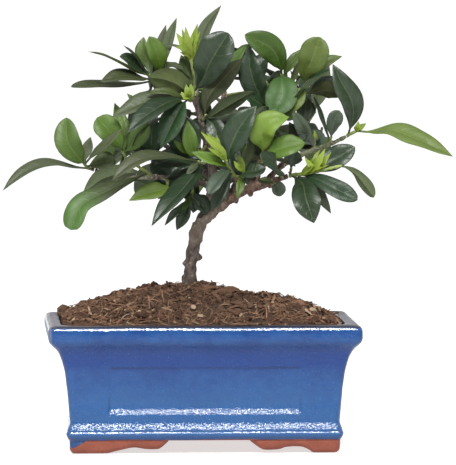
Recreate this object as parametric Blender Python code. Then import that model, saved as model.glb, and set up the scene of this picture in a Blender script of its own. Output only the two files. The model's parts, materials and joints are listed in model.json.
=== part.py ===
# A small gardenia trained as a bonsai, in a rectangular glazed pot on cloud feet.
# Metres, +Z up, the pot's front face looks along -Y, the pot stands on z = 0.
# Shoots and leaves are placed on a front elevation grid of 456 by 465 squares, seen from EYE
# (u to the right, v down); the third number of a place is its depth y in millimetres,
# measured from the middle of the pot, with the front negative.

import math
import random

import bmesh
import bpy
from mathutils import Matrix, Vector
from mathutils.bvhtree import BVHTree

MM = 0.001

# ---- driving dimensions, in millimetres ----
POT_LENGTH = 150.0
POT_DEPTH = 112.0
POT_HEIGHT = 62.5
RIM_WIDTH = 6.0
INNER_CORNER = 22.0
LEFT_TURN = 2.5
CAVITY_FLOOR = 12.0
BODY_UNDERSIDE = 6.4
DRAIN_HOLE_R = 6.0
DRAIN_HOLE_X = 36.0
SCREEN_SIDE = 22.0
SCREEN_THICK = 0.9
SOIL_PEAK = 80.5
GAP = 0.3
# the middle of the pot, seen from the middle of the whole object's box
POT_X = -12.45
POT_Y = -15.36
# the point that the front elevation is seen from, from the middle of the pot's foot
EYE = (-122.4, -2747.3, 247.0)
EYE_TURN = 2.83
EYE_DROP = 2.96
GRID_SCALE = 5598.0
SEED = 11

# outer face of the pot from the rim down: height, inset from the rim line
POT_PROFILE = [
    (62.5, 0.9), (61.9, 0.2), (60.5, -0.4), (57.4, -1.05), (55.2, -0.75), (53.4, 0.3), (51.2, 2.5), (49.0, 4.1),
    (45.3, 5.6), (40.6, 6.8), (35.4, 7.6), (29.1, 8.3), (22.2, 8.9), (17.2, 9.1), (14.7, 8.8), (12.6, 8.1),
    (10.6, 7.8), (8.4, 8.4), (6.4, 9.4),
]


# ---------------------------------------------------------------- front elevation grid
def grid_axes():
    turn, drop = math.radians(EYE_TURN), math.radians(EYE_DROP)
    forward = Vector((math.sin(turn) * math.cos(drop), math.cos(turn) * math.cos(drop), -math.sin(drop)))
    right = Vector((math.cos(turn), -math.sin(turn), 0.0))
    return forward, right, right.cross(forward)


FORWARD, RIGHT, UPWARD = grid_axes()
TO_VIEWER = -FORWARD


def at(u, v, y):
    """The point in millimetres from the pot's middle that shows at (u, v) and lies at depth y."""
    ray = FORWARD + RIGHT * ((u - 228.0) / GRID_SCALE) + UPWARD * ((232.5 - v) / GRID_SCALE)
    eye = Vector(EYE)
    return eye + ray * ((y - eye.y) / ray.y)


def seen(point):
    """Where a point in millimetres shows on the grid."""
    r = point - Vector(EYE)
    z = r.dot(FORWARD)
    return 228.0 + GRID_SCALE * r.dot(RIGHT) / z, 232.5 - GRID_SCALE * r.dot(UPWARD) / z


def spline(points, steps):
    """Points along a smooth curve through the given ones, evenly spread over its length."""
    if len(points) == 2:
        return [points[0].lerp(points[1], i / steps) for i in range(steps + 1)]
    ends = [points[0] * 2 - points[1]] + list(points) + [points[-1] * 2 - points[-2]]
    fine = []
    for i in range(1, len(ends) - 2):
        a, b, c, d = ends[i - 1], ends[i], ends[i + 1], ends[i + 2]
        for k in range(12):
            t = k / 12.0
            fine.append(
                0.5 * (2 * b + (c - a) * t + (2 * a - 5 * b + 4 * c - d) * t * t + (3 * b - a - 3 * c + d) * t * t * t)
            )
    fine.append(ends[-2])
    lengths = [0.0]
    for p, q in zip(fine, fine[1:]):
        lengths.append(lengths[-1] + (q - p).length)
    out, j = [], 0
    for i in range(steps + 1):
        want = lengths[-1] * i / steps
        while j < len(fine) - 2 and lengths[j + 1] < want:
            j += 1
        span = max(lengths[j + 1] - lengths[j], 1e-9)
        out.append(fine[j].lerp(fine[j + 1], min(1.0, max(0.0, (want - lengths[j]) / span))))
    return out


# ---------------------------------------------------------------- woody frame of the tree
# name: (the branch it leaves, or None; points (u, v, y); radius in mm at each point)
WOOD = {
    "trunk": (None, [(189.6, 296, 0), (189.4, 284, 0), (190.4, 272, 0), (191.3, 258, 0.3), (194.2, 244, -0.5), (197, 232, -1), (199.5, 224, -1)],
              [3.9, 3.1, 2.9, 3.0, 3.0, 3.6, 3.5]),
    "right": ("trunk", [(199.5, 224, -1), (207, 218.5, -2), (215, 211.5, -3), (229, 201, -6), (244, 190.8, -8), (262, 184.5, -10), (276, 180, -11), (288, 176, -12)],
              [3.0, 2.4, 2.0, 1.9, 2.2, 2.3, 1.5, 1.2]),
    "leader": ("trunk", [(199.5, 224, -1), (204.5, 214, 3), (210, 198, 6), (213, 180, 6), (210.5, 160, 5), (206, 140, 3), (201.5, 122, 1), (197, 106, 0), (193.2, 96, -1)],
               [2.7, 2.4, 2.2, 2.1, 2.0, 1.8, 1.6, 1.35, 1.25]),
    "left": ("leader", [(211.5, 186, 6), (197, 181.5, 2), (180, 179, -3), (163, 177.5, -7), (152, 176.5, -9)], [1.7, 1.6, 1.4, 1.25, 1.1]),
    "far_left": ("left", [(163, 177.5, -7), (146, 177.5, -3), (127, 177, -2), (108, 174, -1), (95, 170, -1)], [1.15, 1.1, 1.05, 1.0, 0.95]),
    "upper_left": ("leader", [(206, 140, 3), (192, 124, 9), (176, 107, 11), (163, 93, 10), (155.5, 85, 8)], [1.4, 1.3, 1.2, 1.1, 1.0]),
    "centre": ("right", [(240, 193, -8), (238, 184, -11), (234.5, 176, -14)], [1.3, 1.15, 1.05]),
    "upper_right": ("right", [(251, 188, -9), (257, 170, 8), (265, 146, 17), (273, 120, 18), (280, 98, 14), (283.5, 86, 11)], [1.8, 1.6, 1.5, 1.3, 1.15, 1.0]),
    "far_right": ("right", [(262, 185.5, -10), (277, 170, 1), (294, 158, 7), (311, 151, 8), (327, 145.5, 5), (340, 139.5, 3), (346, 136.5, 2.4)], [1.6, 1.45, 1.3, 1.2, 1.1, 1.0, 0.95]),
    "right_high": ("upper_right", [(273, 120, 18), (287, 105, 15), (298, 94, 12)], [1.1, 1.0, 0.95]),
    "front_right": ("right", [(256, 187, -9), (259, 174, -13), (261.5, 163, -16)], [1.2, 1.05, 0.95]),
    "back_left": ("leader", [(213, 180, 6), (196, 165, 24), (174, 151, 41), (158, 141, 51)], [1.8, 1.6, 1.3, 1.1]),
    "back_mid": ("leader", [(208.5, 150, 4), (216, 131, 21), (222, 106, 37), (225, 86, 47)], [1.7, 1.5, 1.3, 1.05]),
    "back_right": ("far_right", [(277, 170, 1), (287, 158, 20), (299, 139, 38), (308, 122, 49)], [1.35, 1.25, 1.15, 1.0]),
    "back_low": ("right", [(229, 200.5, -6), (233, 189, 16), (239, 177, 38), (245, 167, 53)], [1.7, 1.5, 1.25, 1.0]),
}

# name: (the branch it grows from, points (u, v, y) of its green stem, radius at its foot and at its tip in mm)
SHOOTS = {
    "shoot_far_left": ("far_left", [(88, 168, -2), (84, 163.5, -4)], 0.95, 0.75),
    "shoot_left": ("left", [(146, 171.5, -12), (140, 168, -15), (136.5, 163.5, -16)], 1.1, 0.8),
    "shoot_left_rise": ("far_left", [(126, 160, -2), (122, 150, -4)], 0.9, 0.7),
    "shoot_left_low": ("left", [(167, 180, -13), (167.5, 184, -17)], 0.9, 0.75),
    "shoot_left_under": ("left", [(193, 190, -6), (189.5, 200, -9)], 0.9, 0.7),
    "shoot_front_left": ("leader", [(203, 163.5, -6), (198, 161.5, -14)], 1.05, 0.85),
    "shoot_front_left_light": ("leader", [(201, 151, -4), (197, 150, -8)], 0.85, 0.7),
    "shoot_crown_left_a": ("upper_left", [(151.5, 80, 4), (149, 74, 0)], 0.95, 0.75),
    "shoot_crown_left_b": ("upper_left", [(162, 83, 6), (161, 74, 4)], 0.9, 0.7),
    "shoot_top": ("leader", [(194, 90, -3), (195, 81, -4), (193, 69, -5), (190.5, 58, -5)], 1.15, 0.85),
    "shoot_top_left": ("leader", [(190, 101, -6), (187.5, 98.5, -9)], 0.95, 0.8),
    "shoot_top_back": ("leader", [(198, 97, 5), (197, 84, 8), (197, 72, 9)], 0.95, 0.75),
    "shoot_middle": ("leader", [(204, 119, -5), (206, 115, -9)], 0.95, 0.75),
    "shoot_centre": ("centre", [(231, 170, -18), (227.5, 165.5, -22), (226, 160, -25)], 1.05, 0.8),
    "shoot_centre_side": ("centre", [(243, 177, -18), (244, 169, -20)], 0.85, 0.7),
    "shoot_front_right": ("front_right", [(262, 157.5, -19), (262, 153.5, -21)], 0.95, 0.75),
    "shoot_branch_dark": ("right", [(281, 176, -17), (279.5, 172, -19)], 0.85, 0.7),
    "shoot_branch_round": ("right", [(273.5, 184, -15), (275.5, 186.5, -17)], 0.75, 0.65),
    "shoot_right_low": ("right", [(297, 174.5, -15), (306, 174, -19), (321, 170.5, -22), (342, 165.5, -23)], 1.15, 0.8),
    "shoot_right_low_dark": ("right", [(291, 171, -10), (291.5, 166, -9)], 0.85, 0.7),
    "shoot_far_right": ("far_right", [(352, 133.2, 1), (358, 130.5, 0)], 0.95, 0.8),
    "shoot_right_mid": ("far_right", [(330, 140.5, 0), (331.5, 137, -2)], 0.9, 0.7),
    "shoot_right_mid_front": ("far_right", [(314, 146.5, 0), (314.5, 143, -4)], 0.9, 0.7),
    "shoot_high_right": ("upper_right", [(283, 79, 8), (281.5, 74, 5)], 0.95, 0.8),
    "shoot_high_mid": ("upper_right", [(270, 112, 8), (268, 108, 4)], 0.9, 0.75),
    "shoot_high_front": ("upper_right", [(281, 119, 8), (283, 118, 2)], 0.9, 0.75),
    "shoot_high_far": ("right_high", [(303.5, 88.5, 8), (305, 84, 5)], 0.95, 0.75),
    "shoot_high_far_low": ("right_high", [(306, 94.5, 12), (310, 92.5, 11)], 0.85, 0.7),
}

# Leaves of those shoots: (shoot, place along its stem, points (u, v, y) from the blade's start to its tip,
# full width in mm, (turn, rise) of the upper face in degrees, with turn 0 towards the front and 90 to the right,
# fold along the midrib in degrees, shape: acute, round, bud or one of FULLNESS, and tone)
LEAVES = [
    ("shoot_far_left", 0.45, [(73, 167, -7), (50, 164.2, -13), (25, 172, -18), (2.6, 190.4, -21)], 10.5, (0, 66), 16, "acute", "grey"),
    ("shoot_far_left", 0.8, [(78, 157, -8), (67.5, 141, -11), (66.3, 117.6, -8)], 13.0, (-8, 18), 14, "round", "mid"),
    ("shoot_far_left", 0.95, [(85.5, 153, -1), (90.5, 137, 2)], 6.0, (160, 20), 10, "acute", "grey"),
    ("shoot_far_left", 0.7, [(91, 165.5, -3), (101, 162, -4), (115, 159, -4)], 9.6, (0, 24), 10, "blunt", "olive"),
    ("shoot_left", 0.25, [(133, 179.5, -17), (108, 190.5, -24), (81, 205.5, -30), (70.5, 230, -33)], 12.2, (-18, 32), 7, "spoon", "mid"),
    ("shoot_left", 0.35, [(120, 173, -9), (100, 180, -5), (82.5, 194.5, -4)], 10.5, (175, 30), 10, "acute", "grey"),
    ("shoot_left", 0.8, [(135, 165.5, -19), (130, 164.5, -20)], 3.4, (0, 40), 16, "bud", "olive"),
    ("shoot_left", 0.97, [(139, 158, -19), (142, 150, -19)], 3.6, (30, 20), 20, "bud", "lime"),
    ("shoot_left", 0.99, [(134, 159, -18), (131, 153, -18)], 3.2, (-30, 20), 20, "bud", "lime"),
    ("shoot_left_rise", 0.95, [(119, 143, -7), (109, 131, -9), (97, 117.5, -8)], 13.0, (-8, 28), 14, "blunt", "light"),
    ("shoot_left_rise", 0.8, [(123, 132, 2), (119, 116, 5), (114.6, 103, 6)], 8.0, (0, 22), 12, "acute", "light"),
    ("shoot_left_rise", 0.9, [(130, 148, -5), (138, 137, -8), (147, 122, -9)], 10.0, (6, 20), 12, "blunt", "mid"),
    ("shoot_left_rise", 0.6, [(125.5, 146, 2), (126.5, 136, 3), (127, 124, 4)], 7.5, (0, 20), 12, "acute", "olive"),
    ("shoot_far_left", 0.92, [(93, 155, -10), (106, 144, -15), (122, 128.5, -18)], 6.2, (-10, 40), 12, "acute", "grey"),
    ("shoot_left_low", 0.9, [(165, 188.5, -20), (148, 193.5, -24), (129, 200.6, -28)], 10.5, (0, 36), 14, "heart", "midlime"),
    ("shoot_left_low", 0.3, [(173, 178, -9), (182, 170, -8), (192, 166, -8)], 9.0, (0, 30), 12, "acute", "dark"),
    ("shoot_left_low", 0.7, [(166, 190, -12), (158, 199, -12)], 5.5, (-10, 30), 14, "acute", "dark"),
    ("shoot_left_under", 0.85, [(181, 208.5, -12), (175, 213.5, -13.5), (164.5, 225.5, -14.5)], 5.0, (-10, 40), 14, "acute", "dark"),
    ("shoot_left_under", 0.97, [(187, 208, -9), (182.5, 218, -10), (176.6, 230, -10)], 6.6, (10, 25), 12, "acute", "dark"),
    ("shoot_left_under", 0.7, [(187, 204, -14), (180.5, 211.5, -16)], 3.6, (0, 30), 12, "acute", "mid"),
    ("shoot_left_under", 0.6, [(197, 199, -2), (203, 206, 0), (206, 215, 1)], 9.5, (25, 12), 10, "acute", "dark"),
    ("shoot_left_under", 0.75, [(194, 206, -6), (193, 213, -7)], 6.0, (0, 15), 12, "acute", "dark"),
    ("shoot_front_left", 0.95, [(182, 159, -20), (158, 156.2, -28), (133, 163, -35), (112, 180.3, -38)], 11.0, (-5, 58), 14, "spear", "grey"),
    ("shoot_front_left", 0.75, [(185, 164.5, -15), (168, 165, -19), (153, 167, -21)], 8.0, (0, 55), 12, "acute", "dark"),
    ("shoot_front_left", 0.97, [(194, 167, -18), (186, 175.5, -21)], 4.2, (-10, 30), 16, "acute", "grey"),
    ("shoot_front_left", 0.6, [(198, 170, -17), (186, 186, -27), (170, 203, -38), (151.5, 226, -44)], 13.5, (-28, 32), 16, "acute", "dark"),
    ("shoot_front_left_light", 0.95, [(194, 154, -12), (190, 140, -15), (187.6, 120.5, -14)], 8.0, (0, 18), 14, "acute", "light"),
    ("shoot_front_left_light", 0.8, [(188, 151, -9), (180, 146, -12), (172.7, 139, -13)], 5.0, (-20, 25), 14, "bud", "light"),
    ("shoot_front_left_light", 0.5, [(190, 146, -1), (177, 138, 2), (160, 133, 4)], 13.0, (0, 24), 12, "acute", "deep"),
    ("shoot_front_left_light", 0.6, [(196, 140, -2), (191, 130, -2), (184, 115, -2)], 9.0, (0, 16), 12, "acute", "dark"),
    ("shoot_front_left", 0.2, [(190, 159, 1), (175, 155, 4), (158, 153, 6)], 10.0, (0, 30), 12, "acute", "dark"),
    ("shoot_crown_left_a", 0.9, [(135, 71, -5), (120, 62.8, -10), (104.7, 55.6, -14), (88, 51.4, -17)], 7.5, (0, 80), 8, "acute", "olive"),
    ("shoot_crown_left_a", 0.95, [(141, 64, -1), (134, 54.5, -2), (123, 45, -3)], 6.0, (0, 78), 8, "acute", "dark"),
    ("shoot_crown_left_a", 0.8, [(140, 69.5, 2), (130, 60.5, 1), (119.6, 56.5, -1)], 8.5, (0, 40), 12, "round", "dark"),
    ("shoot_crown_left_a", 0.99, [(148, 62, 3), (142.5, 50, 3), (143.7, 37, 4)], 8.5, (-15, 12), 12, "acute", "mid"),
    ("shoot_crown_left_a", 0.6, [(140, 78.5, -3), (122, 76, -9), (100, 82, -14)], 11.0, (-8, 48), 12, "acute", "darkgrey"),
    ("shoot_crown_left_a", 0.45, [(135, 84, 5), (110, 85, 4), (90, 84.5, 1), (71, 87, -2)], 7.5, (0, 56), 10, "blunt", "darkgrey"),
    ("shoot_crown_left_b", 0.95, [(159.5, 64, 0), (156.5, 52, -3), (149, 36.5, -4)], 10.0, (8, 14), 12, "round", "light"),
    ("shoot_crown_left_b", 0.97, [(164, 56, 6), (168.5, 39, 8), (176.6, 18, 9)], 5.6, (170, 15), 14, "acute", "grey"),
    ("shoot_crown_left_b", 0.8, [(159, 58, 10), (161, 43, 12), (166, 25, 13)], 5.6, (175, 15), 12, "acute", "grey"),
    ("shoot_crown_left_b", 0.7, [(166, 69, -1), (173, 66, -3), (184, 69.5, -4)], 7.5, (0, 66), 12, "acute", "grey"),
    ("shoot_crown_left_b", 0.5, [(171, 78, 3), (182, 82, 6)], 8.0, (0, 40), 12, "acute", "dark"),
    ("shoot_top_left", 0.9, [(178, 99.5, -14), (162, 105.5, -22), (144, 117.5, -29), (127, 133, -34)], 12.5, (-12, 42), 14, "acute", "dark"),
    ("shoot_top_left", 0.6, [(172, 95.5, -8), (143, 103, -12), (112, 117, -15)], 12.0, (0, 46), 12, "acute", "grey"),
    ("shoot_top_left", 0.97, [(181, 107, -13), (172, 124, -17), (161, 148, -19)], 13.5, (-22, 12), 14, "acute", "deep"),
    ("shoot_top_left", 0.5, [(183, 88, -11), (168, 80, -14), (149, 77, -17)], 13.0, (178, 26), 8, "round", "olive"),
    ("shoot_top_left", 0.8, [(170, 92, -12), (158, 91, -13), (147, 94, -13)], 5.0, (0, 40), 12, "acute", "olive"),
    ("shoot_top_left", 0.98, [(187.5, 93, -12), (186, 84.5, -12)], 4.0, (0, 20), 20, "bud", "lime"),
    ("shoot_top_left", 0.92, [(190.5, 93.5, -11), (191, 83, -11)], 3.6, (10, 20), 20, "bud", "lime"),
    ("shoot_top_left", 0.99, [(184.5, 96, -12), (181, 92, -12)], 3.4, (-20, 20), 20, "bud", "lime"),
    ("shoot_top", 0.16, [(203, 79, -9), (208.5, 66, -14), (217, 51, -18), (228.5, 33, -19)], 18.0, (0, 16), 14, "blunt", "dark"),
    ("shoot_top_back", 0.3, [(211, 82, 2), (228, 67, 0), (247.5, 44, -1)], 8.5, (35, 52), 12, "acute", "light"),
    ("shoot_top_back", 0.9, [(197.5, 52, 8), (205, 28, 11), (221, 5.5, 14)], 6.6, (170, 22), 12, "acute", "grey"),
    ("shoot_top_back", 0.7, [(186, 54, 6), (176, 46.5, 5), (166, 44, 4)], 4.2, (0, 56), 12, "acute", "grey"),
    ("shoot_top_back", 0.6, [(188, 72, 12), (181, 55, 14)], 8.0, (-20, 25), 12, "acute", "mid"),
    ("shoot_top", 0.9, [(192, 46, -7), (197.5, 24, -7)], 4.6, (20, 14), 20, "bud", "lime"),
    ("shoot_top", 0.93, [(188, 44, -9), (185.5, 27, -9)], 4.2, (0, 14), 20, "bud", "lime"),
    ("shoot_top", 0.95, [(184, 45, -6), (176.5, 33, -6)], 4.6, (-20, 20), 20, "bud", "lime"),
    ("shoot_top", 0.97, [(194, 48, -3), (199.6, 37, -3)], 4.2, (40, 20), 20, "bud", "lime"),
    ("shoot_top", 0.99, [(184, 50, -9), (175.5, 46, -10)], 3.6, (-30, 30), 20, "bud", "lime"),
    ("shoot_top", 0.85, [(187, 45, -2), (182, 29, -1)], 4.2, (-20, 10), 20, "bud", "lime"),
    ("shoot_middle", 0.6, [(207.5, 99, -10), (219.5, 82.5, -12), (243, 58, -13)], 10.6, (175, 14), 8, "acute", "shade"),
    ("shoot_middle", 0.9, [(212, 115, -14), (231, 103.5, -18), (254, 91, -20)], 8.6, (172, 36), 8, "acute", "shade"),
    ("shoot_middle", 0.8, [(212, 124, -11), (217, 135, -13), (221, 148, -14)], 11.0, (-15, 18), 12, "acute", "dark"),
    ("shoot_middle", 0.7, [(214, 117, -5), (226, 115, -5), (240, 112, -5)], 10.0, (0, 26), 12, "acute", "shade"),
    ("shoot_centre", 0.72, [(230.5, 147, -27), (240, 127, -31), (256.5, 106, -32)], 14.0, (-8, 14), 12, "acute", "dark"),
    ("shoot_centre", 0.96, [(222, 152, -28), (213, 143.5, -30), (201, 132, -31)], 4.2, (-15, 24), 20, "bud", "lime"),
    ("shoot_centre", 0.99, [(219.5, 148, -26), (214, 140, -26), (206.5, 133, -26)], 3.3, (0, 24), 20, "bud", "lime"),
    ("shoot_centre", 0.9, [(219, 155, -30), (213.5, 151.5, -32), (208, 147.8, -33)], 3.8, (-20, 30), 20, "bud", "lime"),
    ("shoot_centre", 0.62, [(219, 162.5, -26), (208.5, 158.5, -29), (192, 152, -30)], 7.0, (-10, 30), 16, "acute", "light"),
    ("shoot_centre", 0.4, [(225, 172, -26), (217, 181, -32), (208.5, 194, -36)], 8.2, (-12, 42), 12, "blunt", "greygreen"),
    ("shoot_centre", 0.28, [(226, 181, -20), (219, 195, -23), (211, 211, -25)], 8.0, (15, 34), 12, "acute", "dark"),
    ("shoot_centre_side", 0.3, [(241, 181, -22), (239.5, 190, -25), (237, 198.5, -26)], 4.6, (10, 22), 14, "acute", "mid"),
    ("shoot_centre_side", 0.97, [(240, 160, -21), (237, 154.5, -21)], 3.4, (0, 20), 20, "bud", "lime"),
    ("shoot_centre_side", 0.9, [(237.5, 166, -24), (234, 161, -25)], 3.4, (-20, 20), 20, "bud", "lime"),
    ("shoot_centre_side", 0.6, [(247, 172, -24), (256, 171, -27), (266, 168, -28)], 10.0, (0, 38), 12, "round", "dark"),
    ("shoot_centre_side", 0.8, [(245, 160, -18), (250, 150, -19), (252, 140, -19)], 6.0, (30, 20), 14, "acute", "olive"),
    ("shoot_centre_side", 0.5, [(239, 168, -13), (235, 157, -11), (236, 143, -10)], 9.5, (0, 18), 12, "acute", "dark"),
    ("shoot_front_right", 0.95, [(263, 145, -25), (262, 132, -29), (270.5, 122, -31), (289, 117, -31)], 14.0, (-4, 20), 12, "acute", "lightlime"),
    ("shoot_front_right", 0.7, [(268.5, 154, -24), (284, 147, -28), (305, 143, -29)], 12.0, (-6, 26), 12, "round", "light"),
    ("shoot_front_right", 0.5, [(258, 151, -13), (255, 140, -11), (256, 127, -10)], 9.0, (0, 18), 12, "acute", "dark"),
    ("shoot_branch_dark", 0.9, [(277, 168.5, -22), (270, 161.5, -26), (259.5, 154.5, -27)], 11.5, (14, 28), 12, "round", "dark"),
    ("shoot_branch_round", 0.9, [(276.5, 184.5, -19), (278.5, 189, -20), (280, 196.5, -20)], 7.2, (0, 30), 12, "round", "greygreen"),
    ("shoot_branch_round", 0.4, [(268, 181, -17), (258, 181, -18)], 4.6, (0, 40), 12, "round", "olive"),
    ("shoot_right_low", 0.36, [(317, 164, -26), (321, 157, -27), (325, 149, -27)], 5.0, (0, 16), 20, "bud", "lime"),
    ("shoot_right_low", 0.4, [(321.5, 164, -24), (326, 158.5, -25), (331, 152.5, -25)], 4.2, (20, 16), 20, "bud", "lime"),
    ("shoot_right_low", 0.3, [(311, 167, -25), (308, 162.5, -26), (304.8, 157, -26)], 4.4, (-20, 20), 20, "bud", "lime"),
    ("shoot_right_low", 0.33, [(314, 163, -22), (316, 156, -21), (320, 150, -21)], 4.0, (0, 16), 20, "bud", "lime"),
    ("shoot_right_low", 0.44, [(330, 161.5, -19), (342, 155, -20), (355, 147, -20)], 12.5, (6, 26), 12, "round", "dark"),
    ("shoot_right_low", 0.97, [(348, 168, -24), (359, 177, -27), (374, 197.5, -28)], 7.0, (172, 34), 16, "blunt", "greyolive"),
    ("shoot_right_low", 0.3, [(319, 180, -26), (335, 188.5, -31), (357.5, 200, -34)], 9.8, (-6, 24), 12, "blunt", "green"),
    ("shoot_right_low", 0.12, [(302.5, 184, -22), (306, 199, -30), (314, 223, -34)], 14.2, (-4, 22), 16, "spear", "dark"),
    ("shoot_right_low", 0.22, [(313, 186, -19), (322, 199, -22), (331, 213.5, -23)], 6.2, (172, 18), 12, "acute", "grey"),
    ("shoot_right_low_dark", 0.8, [(293.5, 158, -11), (297, 150, -13)], 9.0, (20, 22), 16, "acute", "dark"),
    ("shoot_far_right", 0.15, [(353, 116, -2), (351, 100, -6), (341.5, 83, -7), (332.8, 64.2, -6)], 12.4, (10, 14), 14, "acute", "dark"),
    ("shoot_far_right", 0.95, [(372, 132, -3), (393, 131, -9), (416, 139, -15), (436, 148.5, -18), (453, 156.5, -20)], 13.6, (0, 54), 12, "acute", "palelime"),
    ("shoot_far_right", 0.8, [(357.5, 127, -2), (358.5, 121.5, -3)], 3.2, (0, 20), 20, "bud", "lime"),
    ("shoot_far_right", 0.92, [(361, 127, 2), (366, 123.5, 3)], 3.0, (20, 20), 20, "bud", "lime"),
    ("shoot_right_mid", 0.9, [(332, 130, -4), (334, 121, -6), (339.5, 110.5, -7)], 8.0, (14, 14), 12, "blunt", "greygreen"),
    ("shoot_right_mid", 0.5, [(325, 128, 3), (319.5, 113, 5), (313.5, 95, 6)], 5.0, (60, 14), 12, "acute", "dark"),
    ("shoot_right_mid_front", 0.8, [(311, 142, -16), (303, 128, -29), (294, 112, -34)], 7.4, (-20, 26), 16, "blunt", "greygreen"),
    ("shoot_right_mid_front", 0.97, [(315, 137, -7), (314.5, 130.5, -8)], 2.8, (20, 20), 20, "bud", "lime"),
    ("shoot_right_mid_front", 0.6, [(320, 139, -3), (313, 130, -6)], 5.8, (0, 25), 14, "acute", "greygreen"),
    ("shoot_high_right", 0.9, [(280, 64, 1), (270, 47.5, -4), (244.8, 34.8, -7)], 13.0, (-12, 12), 12, "round", "bright"),
    ("shoot_high_right", 0.7, [(290, 65, 5), (303.5, 48.5, 6)], 6.0, (10, 40), 14, "acute", "mid"),
    ("shoot_high_right", 0.97, [(282, 82, -2), (282, 96, -6), (271, 116, -9)], 16.0, (-4, 18), 12, "round", "midgreen"),
    ("shoot_high_mid", 0.9, [(259, 94, 1), (251, 73, -2), (249, 45, -2)], 13.0, (-14, 18), 12, "acute", "dark"),
    ("shoot_high_mid", 0.6, [(260, 104, 2), (251, 98, 0), (242, 95, -2)], 10.0, (0, 24), 12, "acute", "deep"),
    ("shoot_high_mid", 0.7, [(272, 101, 10), (266, 88, 13)], 10.0, (20, 16), 12, "acute", "dark"),
    ("shoot_high_front", 0.9, [(286, 111, -8), (294, 101, -13), (305.3, 88, -15)], 10.5, (0, 26), 14, "spear", "midolive"),
    ("shoot_high_far", 0.9, [(306, 74, 1), (312, 60, -3), (320, 37, -5)], 14.8, (4, 20), 12, "blunt", "lightolive"),
    ("shoot_high_far", 0.7, [(311, 73.5, 6), (324, 62.5, 7), (342, 56.2, 8)], 7.5, (0, 30), 10, "acute", "lightolive"),
    ("shoot_high_far_low", 0.7, [(317, 91, 7), (329, 90.5, 3), (346, 95.5, 1)], 9.5, (172, 28), 8, "acute", "olive"),
    ("shoot_high_far_low", 0.9, [(317, 85.5, 13), (330, 81.5, 15), (343, 83.5, 16)], 7.5, (0, 40), 10, "acute", "dark"),
    ("shoot_high_far_low", 0.5, [(306, 103, 10), (305, 112, 8), (303, 123, 6)], 10.0, (10, 16), 12, "acute", "shade"),
    ("back_shoot_left_side", 0.9, [(151, 150, 38), (152, 133, 35), (153, 113, 33)], 11.0, (0, 16), 12, "acute", "deep"),
    ("back_shoot_left_side", 0.75, [(145, 154, 40), (138, 150, 37), (129, 145, 34)], 8.0, (0, 30), 12, "acute", "shade"),
    ("back_shoot_left_upper", 0.9, [(176, 132, 30), (167, 135, 27), (157, 143, 24)], 9.0, (0, 20), 12, "acute", "shade"),
    ("back_shoot_middle", 0.9, [(207, 116, 36), (202, 104, 33), (197, 90, 31)], 8.0, (0, 16), 12, "acute", "shade"),
    ("back_shoot_middle", 0.8, [(205, 124, 38), (198, 128, 36), (189, 137, 34)], 10.0, (0, 20), 12, "acute", "deep"),
    ("back_shoot_low_left", 0.9, [(215, 163, 36), (210, 153, 33), (204, 140, 30)], 10.0, (0, 16), 12, "acute", "shade"),
    ("back_shoot_low_end", 0.8, [(250, 166, 55), (249, 156, 52), (246, 138, 50)], 10.0, (0, 16), 12, "acute", "shade"),
    ("back_shoot_low_left", 0.75, [(214, 177, 38), (208, 171, 35), (198, 163, 33)], 10.0, (0, 20), 12, "acute", "shade"),
    ("side_shoot_right", 0.75, [(304, 147, 14), (297, 136, 16), (289, 122, 18)], 9.0, (0, 20), 12, "acute", "shade"),
    ("side_shoot_right", 0.9, [(318, 132, 16), (309, 136, 13), (299, 142, 11)], 9.0, (0, 24), 12, "blunt", "greygreen"),
    ("shoot_left_under", 0.25, [(190, 197, 6), (193, 188, 9), (197, 178, 11)], 8.5, (0, 16), 12, "acute", "shade"),
    ("side_shoot_inner", 0.95, [(241, 167, 5), (250, 175, 4), (259, 183.5, 3)], 11.0, (0, 20), 12, "round", "dark"),
    ("side_shoot_inner", 0.9, [(232, 167, 3), (228, 176, 1), (224, 187, 0)], 10.0, (0, 20), 12, "acute", "dark"),
]

# shoots of the sides and the back: (name, branch, (u, v, y) of the tip, number of leaves)
BACK_SHOOTS = [
    ("back_shoot_left_end", "back_left", (150, 134, 59), 5),
    ("back_shoot_left_inner", "back_left", (176, 166, 45), 3),
    ("back_shoot_left_upper", "back_left", (180, 136, 36), 3),
    ("back_shoot_left_side", "back_left", (150, 158, 46), 4),
    ("back_shoot_top_end", "back_mid", (227, 75, 54), 5),
    ("back_shoot_top_left", "back_mid", (200, 88, 34), 2),
    ("back_shoot_top_right", "back_mid", (245, 92, 38), 4),
    ("back_shoot_middle", "back_mid", (212, 122, 42), 3),
    ("back_shoot_right_end", "back_right", (315, 112, 57), 5),
    ("back_shoot_right_upper", "back_right", (292, 118, 46), 3),
    ("back_shoot_right_inner", "back_right", (282, 142, 42), 3),
    ("back_shoot_low_end", "back_low", (249, 160, 62), 5),
    ("back_shoot_low_left", "back_low", (222, 170, 42), 3),
    ("back_shoot_low_right", "back_low", (262, 172, 36), 4),
    ("side_shoot_left", "far_left", (122, 160, 14), 3),
    ("side_shoot_left_low", "far_left", (103, 181, 11), 3),
    ("side_shoot_upper_left", "upper_left", (146, 92, 24), 4),
    ("side_shoot_upper_inner", "upper_left", (176, 86, 26), 3),
    ("side_shoot_high", "upper_right", (262, 78, 28), 3),
    ("side_shoot_high_back", "upper_right", (288, 92, 32), 4),
    ("side_shoot_high_low", "upper_right", (250, 128, 32), 3),
    ("side_shoot_right", "far_right", (322, 128, 22), 4),
    ("side_shoot_inner", "leader", (236, 160, 8), 2),
]

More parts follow.
